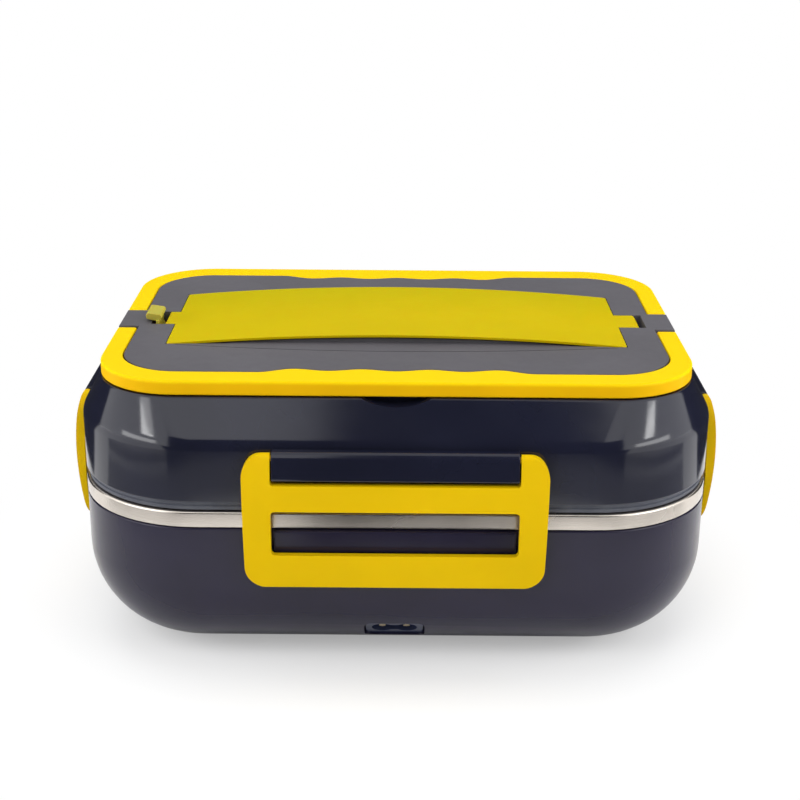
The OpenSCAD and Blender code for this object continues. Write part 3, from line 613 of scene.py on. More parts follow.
@dataclass(frozen=True)
class MouldedPlastic(Finish):
    """Injection-moulded plastic, from polished to spark-textured.

    Args:
        grain: depth of the fine texture.
        grain_scale: how many grains there are in a metre.
        ripple: depth of the slow waviness that a polished moulding has.
        mottle: how much the colour varies.
        glow: how much light scatters inside it.
        shine: how strongly it mirrors, where 0.5 is the usual plastic.
        painted_top_light: a lighter colour painted at and above top_z, painted light on the top faces, where
            set.
        top_z: the height in metres that the painted top light starts at.
    """

    grain: float = 0.01
    grain_scale: float = 2600
    ripple: float = 0
    mottle: float = 0.08
    glow: float = 0
    shine: float = 0.5
    painted_top_light: Triple | None = None
    top_z: float = 0.1055

    def paint(self, graph: Graph) -> Value:
        """Works out the colour with its slow variation, and the painted top light where set.

        Args:
            graph: the material's nodes.
        Returns:
            The colour.
        """
        slow = graph.step(graph.noise(graph.place(), 26, detail=3), 0.3, 0.7)
        plain = graph.blend(slow, self.shaded(1 - self.mottle), self.shaded(1 + self.mottle))
        if self.painted_top_light is None:
            return plain
        # painted light: at and above top_z the colour turns to the lighter painted top light
        return graph.blend(graph.step(graph.xyz()[2], self.top_z - MM, self.top_z), plain, self.painted_top_light)

    def inputs(self, graph: Graph) -> dict[str, Any]:
        """Works out what the shader is given.

        Args:
            graph: the material's nodes.
        Returns:
            The shader's inputs, by their names.
        """
        fine = graph.noise(graph.place(), self.grain_scale, detail=3, roughness=0.6)
        smudge = graph.noise(graph.place((1, 1, 2.4)), 60, detail=4, roughness=0.6)
        normal = graph.edges(self.edge)
        if self.ripple:
            normal = graph.bump(graph.noise(graph.place(), 22, detail=1), 1, self.ripple, normal)
        return {
            "Base Color": self.paint(graph),
            "Roughness": graph.step(smudge, 0.3, 0.75, self.roughness * 0.88, self.roughness * 1.15),
            "Specular IOR Level": self.shine, "Subsurface Weight": self.glow, "Subsurface Scale": 0.004,
            "Normal": graph.bump(fine, 0.5, self.grain, normal)}


@dataclass(frozen=True)
class TranslucentYellow(MouldedPlastic):
    """The cutlery cover's plastic, with painted shade that darkens it towards olive to the rear and to the
    left.

    Args:
        painted_shade: the olive that the painted shade darkens it to.
    """

    painted_shade: Triple = (0.36, 0.33, 0.0005)

    def paint(self, graph: Graph) -> Value:
        """Works out the colour, with painted shade darker to the rear and to the left.

        Args:
            graph: the material's nodes.
        Returns:
            The colour.
        """
        x, y, _ = graph.xyz()
        # painted shade: the cover darkens towards the rear and the left
        rear = graph.step(y, -0.004, 0.034, 0, 0.42)
        left = graph.step(x, 0.02, -0.084, 0, 0.3)
        return graph.blend(rear + left * 0.5, super().paint(graph), self.painted_shade)


@dataclass(frozen=True)
class DrawnSteel(Finish):
    """Bare metal with the fine lines of its polishing.

    Args:
        lines: how the lines are stretched along X, Y and Z.
    """

    lines: Triple = (1, 1, 40)

    def inputs(self, graph: Graph) -> dict[str, Any]:
        """Works out what the shader is given.

        Args:
            graph: the material's nodes.
        Returns:
            The shader's inputs, by their names.
        """
        lines = graph.noise(graph.place(self.lines), 120, detail=5, roughness=0.7)
        cloud = graph.noise(graph.place(), 30)
        return {
            "Base Color": graph.blend(graph.step(lines, 0.25, 0.75), self.shaded(0.86), self.colour),
            "Metallic": 1,
            "Roughness": graph.step(cloud, 0.3, 0.7, self.roughness * 0.85, self.roughness * 1.2),
            "Normal": graph.bump(lines, 0.25, 0.02, graph.edges(self.edge))}


@dataclass(frozen=True)
class SoftRubber(Finish):
    """Silicone or rubber with a dusty, matte skin.

    Args:
        bloom: the paler colour of its dusty parts.
    """

    bloom: Triple = (0.05, 0.05, 0.05)

    def inputs(self, graph: Graph) -> dict[str, Any]:
        """Works out what the shader is given.

        Args:
            graph: the material's nodes.
        Returns:
            The shader's inputs, by their names.
        """
        dust = graph.noise(graph.place(), 90, detail=5, roughness=0.65)
        pores = graph.noise(graph.place(), 1800)
        return {
            "Base Color": graph.blend(graph.step(dust, 0.35, 0.75), self.colour, self.bloom),
            "Roughness": graph.step(dust, 0.3, 0.7, self.roughness * 0.9, self.roughness * 1.15),
            "Normal": graph.bump(pores, 0.3, 0.02, graph.edges(self.edge))}


@dataclass(frozen=True)
class WovenGlass(Finish):
    """The woven glass-fibre sheet under the heater.

    Args:
        threads: how many threads there are in a metre.
    """

    threads: float = 420

    def inputs(self, graph: Graph) -> dict[str, Any]:
        """Works out what the shader is given.

        Args:
            graph: the material's nodes.
        Returns:
            The shader's inputs, by their names.
        """
        across, along = [graph.node("ShaderNodeTexWave", {"bands_direction": way, "wave_profile": "SIN"}, {
            "Vector": graph.place(), "Scale": self.threads / 20, "Distortion": 0.4}, output=1)
                         for way in "XY"]
        weave = across * along
        return {
            "Base Color": graph.blend(graph.step(weave, 0.05, 0.6), self.shaded(0.55), self.colour),
            "Roughness": self.roughness,
            "Normal": graph.bump(weave, 0.6, 0.15)}


class Finishes:
    """Every finish of the lunch box, by the record's name for it."""

    recipes: tuple[Finish, ...] = (
        MouldedPlastic("case_plastic", (0.0125, 0.0105, 0.027), 0.2, grain=0.003, ripple=0.05, mottle=0.12,
                       shine=0.3),
        MouldedPlastic("lid_plastic", (0.0085, 0.0095, 0.021), 0.12, grain=0.002, ripple=0.06, mottle=0.12),
        MouldedPlastic("plate_plastic", (0.07, 0.067, 0.077), 0.55, grain=0.03, grain_scale=1900, mottle=0.07,
                       shine=0.4),
        # handle_yellow's painted_top_light is painted light: its top faces are lighter than its sides
        MouldedPlastic("handle_yellow", (0.7, 0.395, 0.0005), 0.36, grain=0.004, mottle=0.03, glow=0.1,
                       shine=0.03, painted_top_light=(0.78, 0.53, 0.001)),
        MouldedPlastic("latch_yellow", (0.67, 0.435, 0.0005), 0.36, grain=0.004, mottle=0.03, glow=0.08,
                       shine=0.04),
        TranslucentYellow("cover_yellow", (0.505, 0.378, 0.0003), 0.34, grain=0.003, mottle=0.02, glow=0.15,
                          shine=0.03),
        MouldedPlastic("thumb_yellow", (0.42, 0.37, 0.045), 0.4, grain=0.02, glow=0.15, shine=0.2),
        MouldedPlastic("cover_plastic", (0.02, 0.02, 0.022), 0.5, 0.25, grain=0.04, grain_scale=1600),
        MouldedPlastic("liner_plastic", (0.3, 0.31, 0.33), 0.45, 0.3, grain=0.02),
        MouldedPlastic("inner_lid_plastic", (0.36, 0.37, 0.4), 0.38, 0.3, grain=0.015, ripple=0.04),
        MouldedPlastic("inlet_plastic", (0.02, 0.026, 0.06), 0.25, 0.2, grain=0.005),
        MouldedPlastic("ceramic", (0.72, 0.68, 0.6), 0.6, 0.2, grain=0.03),
        MouldedPlastic("thermostat_brown", (0.19, 0.085, 0.045), 0.42, 0.2),
        MouldedPlastic("fuse_white", (0.68, 0.65, 0.58), 0.5, 0.15),
        MouldedPlastic("lead_red", (0.4, 0.03, 0.02), 0.45, grain=0.02),
        DrawnSteel("screw_steel", (0.62, 0.62, 0.6), 0.28, 0.12, (8, 8, 1)),
        DrawnSteel("heater_metal", (0.72, 0.72, 0.73), 0.4, 0.2, (1, 20, 1)),
        DrawnSteel("bracket_steel", (0.5, 0.51, 0.52), 0.35, 0.2, (20, 1, 1)),
        DrawnSteel("container_steel", (0.66, 0.605, 0.545), 0.25),
        DrawnSteel("pin_brass", (0.78, 0.62, 0.36), 0.2, 0.15, (6, 1, 1)),
        SoftRubber("foot_rubber", (0.018, 0.018, 0.02), 0.7, 0.3),
        SoftRubber("gasket_silicone", (0.045, 0.049, 0.068), 0.42, bloom=(0.07, 0.076, 0.096)),
        WovenGlass("insulation", (0.7, 0.67, 0.58), 0.85))

    def __init__(self) -> None:
        """Makes each material once."""
        self.made = {recipe.name: recipe.make() for recipe in self.recipes}

    def dress(self, piece: Piece, slot: str, body: str, *nodes: str) -> None:
        """Gives a new piece its finish, the body it rides on and the CAD nodes it stands for.

        Args:
            piece: the piece.
            slot: the record's name of its finish.
            body: the body that it moves with.
            nodes: the CAD nodes that it replaces.
        """
        piece.data.materials.clear()
        piece.data.materials.append(self.made[slot])
        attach(piece, body)
        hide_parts(*nodes)
        LOG.info("%s rides on %s in %s, %d faces", piece.name, body, slot, len(piece.data.polygons))

    def repaint(self, frame: dict[str, Any]) -> None:
        """Gives each CAD node that still shows its own finish.
        """
        slots = {part["node"]: part["material_slot"] for part in frame["record"]["subparts"]}
        for name, node in frame["nodes"].items():
            if not node.hide_render:
                for holder in node.material_slots:
                    holder.material = self.made[slots[name]]
                LOG.info("%s keeps its CAD shape, in %s", name, slots[name])


# ---------- The lunch box ----------


class Side(Enum):
    """A side of the box, by its quarter turns from the front."""

    FRONT = 0
    RIGHT = 1
    REAR = 2
    LEFT = 3

    def pick(self, sizes: Point) -> float:
        """Returns the first of two sizes for the long sides, and the second for the short ones."""
        return sizes[self.value % 2]


@dataclass(frozen=True)
class BodyPlan:
    """The outline that the case, the container and the lid share, and the levels that divide it."""

    width: float = 225
    depth: float = 162
    corner: float = 44
    case_bottom: float = 1
    case_top: float = 55.7
    band_bottom: float = 56
    band_top: float = 61.8
    lid_bottom: float = 65.4
    crease: float = 86.4
    ledge: float = 100.5
    top: float = 106

    def rings(self, *places: Point) -> list[Ring]:
        """Returns the outline at some places, each an inset from it and a height."""
        return [Ring(self.width, self.depth, self.corner).moved(*place) for place in places]

    def rounding(self, inset: float, floor: float, radius: float, steps: int = 12) -> list[Ring]:
        """Draws a rounded bottom edge, from its floor up.

        Args:
            inset: how far the wall above the rounding lies inside the outline.
            floor: the level of the flat bottom.
            radius: the radius of the rounding.
            steps: how many strips it has.
        Returns:
            Its rings.
        """
        angles = [QUARTER * i / steps for i in range(steps + 1)]
        return self.rings(*[(inset + radius * (1 - math.sin(a)), floor + radius * (1 - math.cos(a)))
                            for a in angles])


@dataclass
class Maker:
    """What each sub-assembly needs to build its pieces.

    Args:
        bench: the modelling tools.
        finishes: the materials.
        plan: the shared outline and levels.
    """

    bench: Workbench
    finishes: Finishes
    plan: BodyPlan = field(default_factory=BodyPlan)

    def at_wall(self, piece: Piece, side: Side) -> Piece:
        """Takes a piece that was drawn with the wall at y = 0, facing -Y, to one side of the box."""
        self.bench.turn(piece, (0, 0, 0), (0, -side.pick((self.plan.depth, self.plan.width)) / 2, 0))
        return self.bench.turn(piece, (0, 0, 90 * side.value))


@dataclass
class HeatedBase(Maker):
    """The case with its rounded bottom, catches and lip, and the power inlet."""

    base_round: float = 35
    wall_t: float = 2.2
    lip: Point = (1.1, 3.3)  # insets of its outside and its inside
    lip_top: float = 60.9
    shelf: Triple = (6.7, 52, 48)  # inset, top and underside
    catch_widths: Point = (82.5, 41)  # long sides, short sides
    catch_out: float = 1.9
    catch_h: float = 7.8
    inlet_pocket: Triple = (21.3, 12.5, 2.5)  # width, height and corner, as in the next four
    inlet_hole: Triple = (18.9, 10.5, 2)
    inlet_body: Triple = (18.6, 10.2, 1.8)
    socket: Triple = (7.5, 7.5, 3.749)
    socket_web: Triple = (8.6, 4.8, 0.4)
    socket_x: float = 4.3
    socket_deep: float = 6.8
    inlet_gap: float = 0.15
    inlet_tilt: float = 44
    inlet_face: float = 33.75  # from the middle of the rounding
    flange_t: float = 1.2
    cover_seat: Triple = (120.6, 84.6, 12.3)
    foot_seat: Triple = (70, 36, 6.3)  # its place in X and Y, and its radius

    def build(self) -> None:
        """Builds the case and the inlet; the other pieces of the base keep their CAD shapes."""
        case = self.shell()
        for side in Side:
            self.bench.join(case, self.catch(side))
        self.bench.polish(self.bench.cut(case, *self.cutters()))
        self.finishes.dress(case, "case_plastic", "base", "outer_case")
        self.finishes.dress(self.inlet(), "inlet_plastic", "base", "power_inlet")

    def shell(self) -> Piece:
        """Lofts the case: up its outside, over the lip and down its inside.

        Returns:
            The case.
        """
        plan, top, wall_t, (lip_out, lip_in) = self.plan, self.plan.case_top, self.wall_t, self.lip
        shelf_in, shelf_top, shelf_low = self.shelf
        outside = plan.rounding(0, plan.case_bottom, self.base_round, 18)
        inside = plan.rounding(wall_t, plan.case_bottom + wall_t, self.base_round - wall_t)
        rim = plan.rings(
            (0, top - 0.6), (0.1, top - 0.3), (0.3, top - 0.1), (0.6, top), (lip_out, top),
            (lip_out, self.lip_top - 0.3), (lip_out + 0.3, self.lip_top), (lip_in - 0.3, self.lip_top),
            (lip_in, self.lip_top - 0.3), (lip_in, shelf_top), (shelf_in, shelf_top), (shelf_in, shelf_low),
            (wall_t, shelf_low))
        return self.bench.loft("case", outside + rim + inside[::-1])

    def catch(self, side: Side) -> Piece:
        """Makes the raised bar that the latch of one side clips over.

        Args:
            side: the side of the box.
        Returns:
            The bar.
        """
        half, top = side.pick(self.catch_widths) / 2, self.plan.case_top
        bar = self.bench.box("catch", (-half, -self.catch_out, top - self.catch_h), (half, 1, top - 0.05))
        return self.at_wall(self.bench.soften(bar, 0.55, 4), side)

    def tilted(self, name: str, *places: tuple[Ring, float, float]) -> Piece:
        """Lofts a piece along the inlet's axis.

        Args:
            name: the piece's name.
            places: rings, each with its inset and its height above the inlet's face.
        Returns:
            The piece.
        """
        rings = [ring.moved(inset, self.inlet_face + height) for ring, inset, height in places]
        centre = (0, -self.plan.depth / 2 + self.base_round, self.plan.case_bottom + self.base_round)
        return self.bench.turn(self.bench.loft(name, rings, 6), (90 + self.inlet_tilt, 0, 0), centre)

    def cutters(self) -> list[Piece]:
        """Makes what is cut out of the case: the inlet's pocket and the seats in the bottom.

        Returns:
            The solids to cut away.
        """
        pocket, hole = Ring(*self.inlet_pocket), Ring(*self.inlet_hole)
        skin, bottom = self.base_round - self.inlet_face, self.plan.case_bottom
        (x, y, radius), seat = self.foot_seat, Ring(*self.cover_seat)
        return [
            self.tilted("pocket", (pocket, 0, -1.25), (pocket, 0, skin - 0.35), (pocket, -0.5, skin + 0.4)),
            self.tilted("body_hole", (hole, 0, -6), (hole, 0, 0)),
            self.bench.loft("seat", [seat, seat.moved(0, bottom + 2)], 8),
            *[self.bench.rod("foot_seat", Axis.Z, (i * x, j * y, bottom + 0.4), radius, 1)
              for i in (-1, 1) for j in (-1, 1)]]

    def inlet(self) -> Piece:
        """Makes the inlet: a flange and a body with the two-lobed socket sunk into it.

        Returns:
            The inlet.
        """
        bench, deep = self.bench, -self.socket_deep
        body, web = Ring(*self.inlet_body), Ring(*self.socket_web)
        flange, socket = Ring(*self.inlet_pocket).moved(self.inlet_gap, 0), Ring(*self.socket)
        inlet = self.tilted("power_inlet_block", (body, 0, -8), (body, 0, -self.flange_t),
                            (flange, 0, -self.flange_t), (flange, 0, -0.3), (flange, 0.3, 0))
        lobes = [bench.turn(self.tilted("lobe", (socket, 0, deep), (socket, 0, 1)), (0, 0, 0), (x, 0, 0))
                 for x in (-self.socket_x, self.socket_x)]
        bench.cut(inlet, *lobes, self.tilted("web", (web, 0, deep), (web, 0, 1)))
        return bench.polish(bench.soften(inlet, 0.22, 2, 50))


@dataclass
class FoodContainer(Maker):
    """The steel container whose folded rim shows as the band round the box."""

    steel_t: float = 0.6
    skirt_t: float = 0.8
    tub_inset: float = 9.5
    tub_floor: float = 24
    tub_round: float = 14

    def build(self) -> None:
        """Builds the container: up the outside of its tub, round the band and down the inside."""
        plan, low, top, steel_t = self.plan, self.plan.band_bottom, self.plan.band_top, self.steel_t
        tub_in = self.tub_inset + steel_t
        outside = plan.rounding(self.tub_inset, self.tub_floor, self.tub_round)
        inside = plan.rounding(tub_in, self.tub_floor + steel_t, self.tub_round - steel_t)
        band = plan.rings(
            (self.tub_inset, top - steel_t), (self.skirt_t, top - steel_t), (self.skirt_t, low + 0.15),
            (0.6, low), (0.25, low), (0, low + 0.25), (0, top - 0.8), (0.12, top - 0.4), (0.35, top - 0.15),
            (0.8, top), (tub_in - 0.8, top), (tub_in - 0.25, top - 0.2), (tub_in, top - 0.8))
        tub = self.bench.polish(self.bench.loft("container", outside + band + inside[::-1]))
        self.finishes.dress(tub, "container_steel", "container", "steel_container")


@dataclass
class Lid(Maker):
    """The lid's shell with its sloping shoulder and the brackets of its latches, and its seal."""

    wall_t: float = 2.2
    shoulder_in: float = 8
    shoulder_corner: float = 29
    crease_round: float = 2.4
    bracket_halves: Point = (41.65, 20.65)  # long sides, short sides
    notch_w: float = 24
    notch_h: float = 2.6
    tray_hole: Triple = (162.4, 59.8, 10.1)  # width, depth and corner

    def build(self) -> None:
        """Builds the shell with its finger notch, and the seal."""
        bench, lid, half, ledge = self.bench, self.shell(), self.notch_w / 2, self.plan.ledge
        for side in Side:
            bench.join(lid, self.bracket(side))
        edge, low = -self.plan.depth / 2 + self.shoulder_in, ledge - self.notch_h
        bench.join(lid, bench.box("notch_back", (-half - 2, edge + 1.6, low - self.wall_t),
                                  (half + 2, edge + 7, ledge - 0.2)))
        radius = (half * half + self.notch_h ** 2) / (2 * self.notch_h)
        bench.cut(lid, bench.rod("notch", Axis.Y, (0, edge - 4, low + radius), radius, 17, 160))
        self.finishes.dress(bench.polish(lid, 25), "lid_plastic", "lid", "lid_shell")
        self.finishes.dress(self.seal(), "gasket_silicone", "lid", "lid_gasket")

    def shell(self) -> Piece:
        """Lofts the shell: up its outside, in to the tray's hole and down its inside.

        Returns:
            The shell.
        """
        plan, t, low = self.plan, self.wall_t, self.plan.lid_bottom
        top = Ring(plan.width - 2 * self.shoulder_in, plan.depth - 2 * self.shoulder_in,
                   self.shoulder_corner, plan.ledge)
        foot, below = plan.rings((0, plan.crease), (0, plan.crease - self.crease_round))
        above = foot.towards(top, self.crease_round / (plan.ledge - plan.crease))
        near_top, hole = top.towards(foot, 0.05), Ring(*self.tray_hole, plan.ledge)
        crease = [self.curve(below, foot, above, i / 6) for i in range(7)]
        shoulder = [above.towards(near_top, share) for share in (0.25, 0.5, 0.75)]
        edge = [self.curve(near_top, top, top.moved(0.6, plan.ledge), i / 3) for i in range(4)]
        rings = [*plan.rings((0.4, low), (0.1, low + 0.12), (0, low + 0.45)), *crease, *shoulder, *edge,
                 hole, hole.moved(0, plan.ledge - t), top.moved(t, plan.ledge - t),
                 foot.moved(t, plan.crease - t / 3), *plan.rings((t, low + 0.2), (t - 0.2, low))]
        return self.bench.loft("lid", rings, 20, closed=True)

    def curve(self, first: Ring, corner: Ring, last: Ring, share: float) -> Ring:
        """Returns a ring on the smooth bend between two rings, pulled towards a third."""
        return first.towards(corner, share).towards(corner.towards(last, share), share)

    def bracket(self, side: Side) -> Piece:
        """Makes the block between a latch's legs, with its rolled top and undercut lower edge.

        Args:
            side: the side of the box.
        Returns:
            The block.
        """
        half = side.pick(self.bracket_halves)
        outline = [(1.5, 75.1), (-4.5, 75.1), (-4.8, 75.5), (-5.0, 76.6), (-4.2, 82.2), (-3.9, 83.3),
                   (-3.3, 84.3), (-2.4, 85.0), (1.5, 85.0)]
        block = self.bench.prism("bracket", outline, Axis.X, -half, half)
        return self.at_wall(self.bench.soften(block, 0.5, 3, 30), side)

    def seal(self) -> Piece:
        """Makes the silicone seal with the shallow groove that runs round its edge.

        Returns:
            The seal.
        """
        low, high = self.plan.band_top + 0.2, self.plan.lid_bottom
        rings = self.plan.rings(
            (1.5, low), (1.1, low + 0.25), (1.0, low + 0.6), (1.0, low + 1.5), (1.35, low + 1.8),
            (1.35, low + 2.2), (1.0, low + 2.5), (1.0, high), (8.3, high), (8.5, high - 0.2),
            (8.5, low + 0.3), (8.2, low))
        return self.bench.polish(self.bench.loft("seal", rings, closed=True))


@dataclass
class CarryHandles(Maker):
    """The two handles that fold flat on the lid, with finger waves inside their bars."""

    width: float = 208
    depth: float = 145
    corner: float = 28.5
    thick: float = 5.2
    arm: float = 7.15
    bar: float = 10.4
    inner_corner: float = 21.5
    pivot_y: float = 13.3
    stub: Point = (1.5, 3.6)  # radius and length
    pitch: float = 23.4
    crest: float = 3.8
    dip: float = 1.9

    def build(self) -> None:
        """Builds both handles."""
        for name, angle in (("front_handle", 0), ("rear_handle", 180)):
            handle = self.bench.turn(self.handle(name + "_grip"), (0, 0, angle))
            self.finishes.dress(self.bench.polish(handle), "handle_yellow", name, name)

    def handle(self, name: str) -> Piece:
        """Makes the front handle: a bar and two arms with round ends and stub axles.

        Args:
            name: the piece's name.
        Returns:
            The handle.
        """
        bench, top, end = self.bench, self.plan.top, self.thick / 2 - self.pivot_y
        handle = bench.prism(name, self.outline(end), Axis.Z, top - self.thick, top)
        bench.round_edges(handle, lambda a, b: min(a.y, b.y) > end - NEAR and abs(a.z - b.z) < NEAR,
                          self.thick / 2 - 0.05, 6)
        bench.soften(handle, 0.95, 4, 38)
        x = self.width / 2 - self.arm - 0.8
        return bench.join(handle, *[bench.rod("stub", Axis.X, (at, -self.pivot_y, top - self.thick / 2),
                                              *self.stub) for at in (-x, x)])

    def outline(self, end: float) -> list[Point]:
        """Draws the front handle: round its outside, then back along the waves.

        Args:
            end: where its arms end along Y.
        Returns:
            Its outline in X and Y.
        """
        outside = Ring(self.width, self.depth, self.corner)
        inside = Ring(self.width - 2 * self.arm, self.depth - 2 * self.bar, self.inner_corner)
        outer, inner = [[p for p in ring.outline(24) if p[1] < 0] for ring in (outside, inside)]
        left, right = [p for p in inner if p[0] < 0], [p for p in inner if p[0] > 0]
        return [(-self.width / 2, end), *outer, (self.width / 2, end), (inside.width / 2, end),
                *right[::-1], *self.waves(inside.depth)[::-1], *left[::-1], (-inside.width / 2, end)]

    def waves(self, depth: float) -> list[Point]:
        """Returns the finger waves along the front of something this deep, in X and Y."""
        reach = 2.05 * self.pitch
        return [(x, self.wave(x) - depth / 2) for x in (-reach + 2 * reach * i / 96 for i in range(97))]

    def wave(self, x: float) -> float:
        """Works out how far the finger waves stand in: crests and dips that fade out at both ends.

        Args:
            x: the place along the bar.
        Returns:
            The distance from the bar's straight edge.
        """
        if abs(x) < 1.5 * self.pitch:
            mean, swing = (self.crest + self.dip) / 2, (self.crest - self.dip) / 2
            return mean - swing * math.cos(2 * math.pi * x / self.pitch)
        fade = min(1.0, (abs(x) - 1.5 * self.pitch) / (0.55 * self.pitch))
        return self.crest / 2 * (1 + math.cos(math.pi * fade))


@dataclass
class CutleryTray(Maker):
    """The grey top plate with the cutlery tray in it, the arched cover and its finger latch."""

    plate: Triple = (193, 123.5, 21.15)  # width, depth and corner
    bridge: Point = (104, 10)  # how far out its ends are, and half its width
    cover_half: float = 83.1
    cover_d: float = 63.6
    cover_t: float = 0.85
    seat_drop: float = 1.5
    rise: float = 3.8
    flank_rise: float = 0.9
    flank_run: float = 6.7
    groove_w: float = 0.45
    overhang: float = 1.2
    tray: Triple = (158.2, 55.6, 8)  # width, depth and corner
    tray_floor: float = 92
    tray_wall: float = 1.8
    tab_w: float = 15.4
    slot_half: float = 8.05
    hinge_slot: Point = (82.8, 93.6)
    thumb_slot: Point = (-92.3, -82.8)
    gap: float = 0.3
    hinge: Point = (89.8, 104.2)  # X and Z, as in spring
    barrel_r: float = 1.8
    spring: Point = (-88.2, 103.4)
    spring_r: float = 1.4
    spring_t: float = 1
    thumb_w: float = 13.4
    thumb_head_w: float = 11.4
    handles: CarryHandles | None = None

    def build(self) -> None:
        """Builds the plate, the cover and the finger latch."""
        self.finishes.dress(self.top_plate(), "plate_plastic", "lid", "top_plate")
        self.finishes.dress(self.cover(), "cover_yellow", "cutlery_cover", "cutlery_cover")
        self.finishes.dress(self.thumb(), "thumb_yellow", "cover_latch", "cover_latch")

    def sag(self, x: float, rise: float) -> float:
        """Returns how far an arch of this rise over the cover has fallen at x."""
        radius = (self.cover_half ** 2 + rise ** 2) / (2 * rise)
        return radius - math.sqrt(radius ** 2 - x * x)

    def arch(self, x: float, drop: float = 0) -> float:
        """Returns the height of the cover's arched top at x, lowered by drop."""
        return self.plan.top + self.rise - drop - self.sag(x, self.rise)

    def top_plate(self) -> Piece:
        """Makes the plate: waved front and rear edges, end bridges, raised seat and tray.

        Returns:
            The plate.
        """
        bench, ledge, top = self.bench, self.plan.ledge, self.plan.top
        plate = bench.prism("plate", self.outline(), Axis.Z, ledge, top)
        bench.round_edges(plate, lambda a, b: min(a.z, b.z) > top - NEAR, 0.45, 3)
        half, edge = self.cover_half - self.overhang, self.cover_d / 2 - self.overhang
        wall = bench.box("seat_wall", (-half, -edge, top - 2), (half, edge, top + self.rise))
        bench.join(plate, self.raised_seat(), wall)
        bench.cut(plate, self.cover_pocket(), self.groove(-1), self.groove(1))
        outer, floor = Ring(*self.tray).moved(-self.tray_wall, 0), self.tray_floor - self.tray_wall
        bench.join(plate, self.dish("tray_block", outer, floor, (2, 0), (0.6, 0.6), (0, 2),
                                    (0, ledge + 2 - floor)))
        slots = [bench.box(name, (low, -self.slot_half, ledge + 0.5), (high, self.slot_half, top + 6))
                 for name, (low, high) in (("hinge_slot", self.hinge_slot), ("thumb_slot", self.thumb_slot))]
        space = self.dish("tray_space", Ring(*self.tray), self.tray_floor, (2, 0), (1, 0.27), (0.27, 1),
                          (0, 2), (0, top + 8 - self.tray_floor))
        bench.cut(plate, *slots, space)
        return bench.polish(plate, 28)

    def dish(self, name: str, ring: Ring, floor: float, *places: Point) -> Piece:
        """Returns a loft with a rounded foot; each place is an inset and a height above the floor."""
        return self.bench.loft(name, [ring.moved(inset, floor + height) for inset, height in places], 10)

    def outline(self) -> list[Point]:
        """Draws the plate: waves at its front and rear, and a bridge at each end.

        Returns:
            Its outline in X and Y.
        """
        (width, depth, corner), (reach, half) = self.plate, self.bridge
        waves = self.handles.waves(depth)
        bend = arc((width / 2 - corner, corner - depth / 2), corner, -QUARTER, 0, 20)
        right = [*waves, *bend, (width / 2, -half), (reach, -half)]
        right += [(x, -y) for x, y in right[:len(waves) - 1:-1]]
        return right + [(-x, -y) for x, y in right]

    def raised_seat(self) -> Piece:
        """Makes the low arched rise round the cover, whose flanks slope down to the plate.

        Returns:
            The rise.
        """
        edge, base, rise = self.cover_d / 2 + self.gap, self.plan.top, self.flank_rise

        def level(x: float, y: float) -> float:
            """Returns the rise's height: its arch, falling off past the cover's edge."""
            fall = rise * (abs(y) - edge) / self.flank_run
            return max(base + rise - self.sag(x, rise) - max(fall, 0), base - 0.6)

        return self.bench.sheet("rise", self.cover_half, edge + self.flank_run, (64, 40), 3, level)

    def groove(self, sign: int) -> Piece:
        """Makes the fine groove along the foot of one flank.

        Args:
            sign: -1 at the front, 1 at the rear.
        Returns:
            What is cut out for it.
        """
        start, top = self.cover_d / 2 + self.gap - 0.1, self.plan.top
        places = [0.96 * self.cover_half * i / 40 for i in range(-40, 41)]
        foot = [(x, sign * (start + self.flank_run * (1 - (x / self.cover_half) ** 2))) for x in places]
        outline = foot + [(x, y + sign * self.groove_w) for x, y in reversed(foot)]
        return self.bench.prism("groove", outline, Axis.Z, top - 0.5, top + 3)

    def cover_pocket(self) -> Piece:
        """Returns the space above the cover's underside, which is cut out of the plate."""
        return self.bench.sheet("pocket_space", self.cover_half + self.gap, self.cover_d / 2 + self.gap,
                                (64, 2), -12, lambda x, y: self.arch(x, self.seat_drop))

    def cover(self) -> Piece:
        """Makes the arched cover with its hinge tab, barrel and the root of its finger latch.

        Returns:
            The cover.
        """
        bench, top = self.bench, self.plan.top
        half, edge, tab = self.cover_half, self.cover_d / 2, self.tab_w / 2
        cover = bench.sheet("cover", half, edge, (64, 2), self.cover_t, lambda x, y: self.arch(x))
        bench.round_edges(cover, lambda a, b: Axis.Z.holds(a, b) and abs(a.x) > half - 0.1
                          and abs(a.y) > edge - 0.1, 1, 4)
        (x, z), end = self.hinge, self.spring[0] + self.spring_r
        bench.join(cover, bench.box("hinge_tab", (half - 1, -tab, top - self.cover_t), (x, tab, top)),
                   bench.rod("barrel", Axis.Y, (x, 0, z), self.barrel_r, self.tab_w),
                   bench.box("latch_tab", (end, -tab, top - self.cover_t), (-half + 1, tab, top)))
        bench.soften(cover, 0.3, 3, 40)
        stub = bench.rod("hinge_stub", Axis.Y, (x, 0, z), 1, self.tab_w + 3.2)
        bend = bench.prism("bend", self.bend(1), Axis.Y, -self.thumb_w / 2, self.thumb_w / 2)
        return bench.polish(bench.join(cover, stub, bend))

    def bend(self, sign: int) -> list[Point]:
        """Draws half of the spring's U bend.

        Args:
            sign: 1 for the half at the cover, -1 for the half at the finger latch.
        Returns:
            Its outline in X and Z.
        """
        inner_r, outer_r = self.spring_r, self.spring_r + self.spring_t
        inner, outer = [arc(self.spring, radius, -QUARTER, sign * QUARTER - QUARTER, 8)
                        for radius in (inner_r, outer_r)]
        x, high = self.spring[0], self.plan.top - self.cover_t / 2
        root = [(x + inner_r + 0.1, high), (x + outer_r, high)] if sign > 0 else []
        return inner + root + outer[::-1]

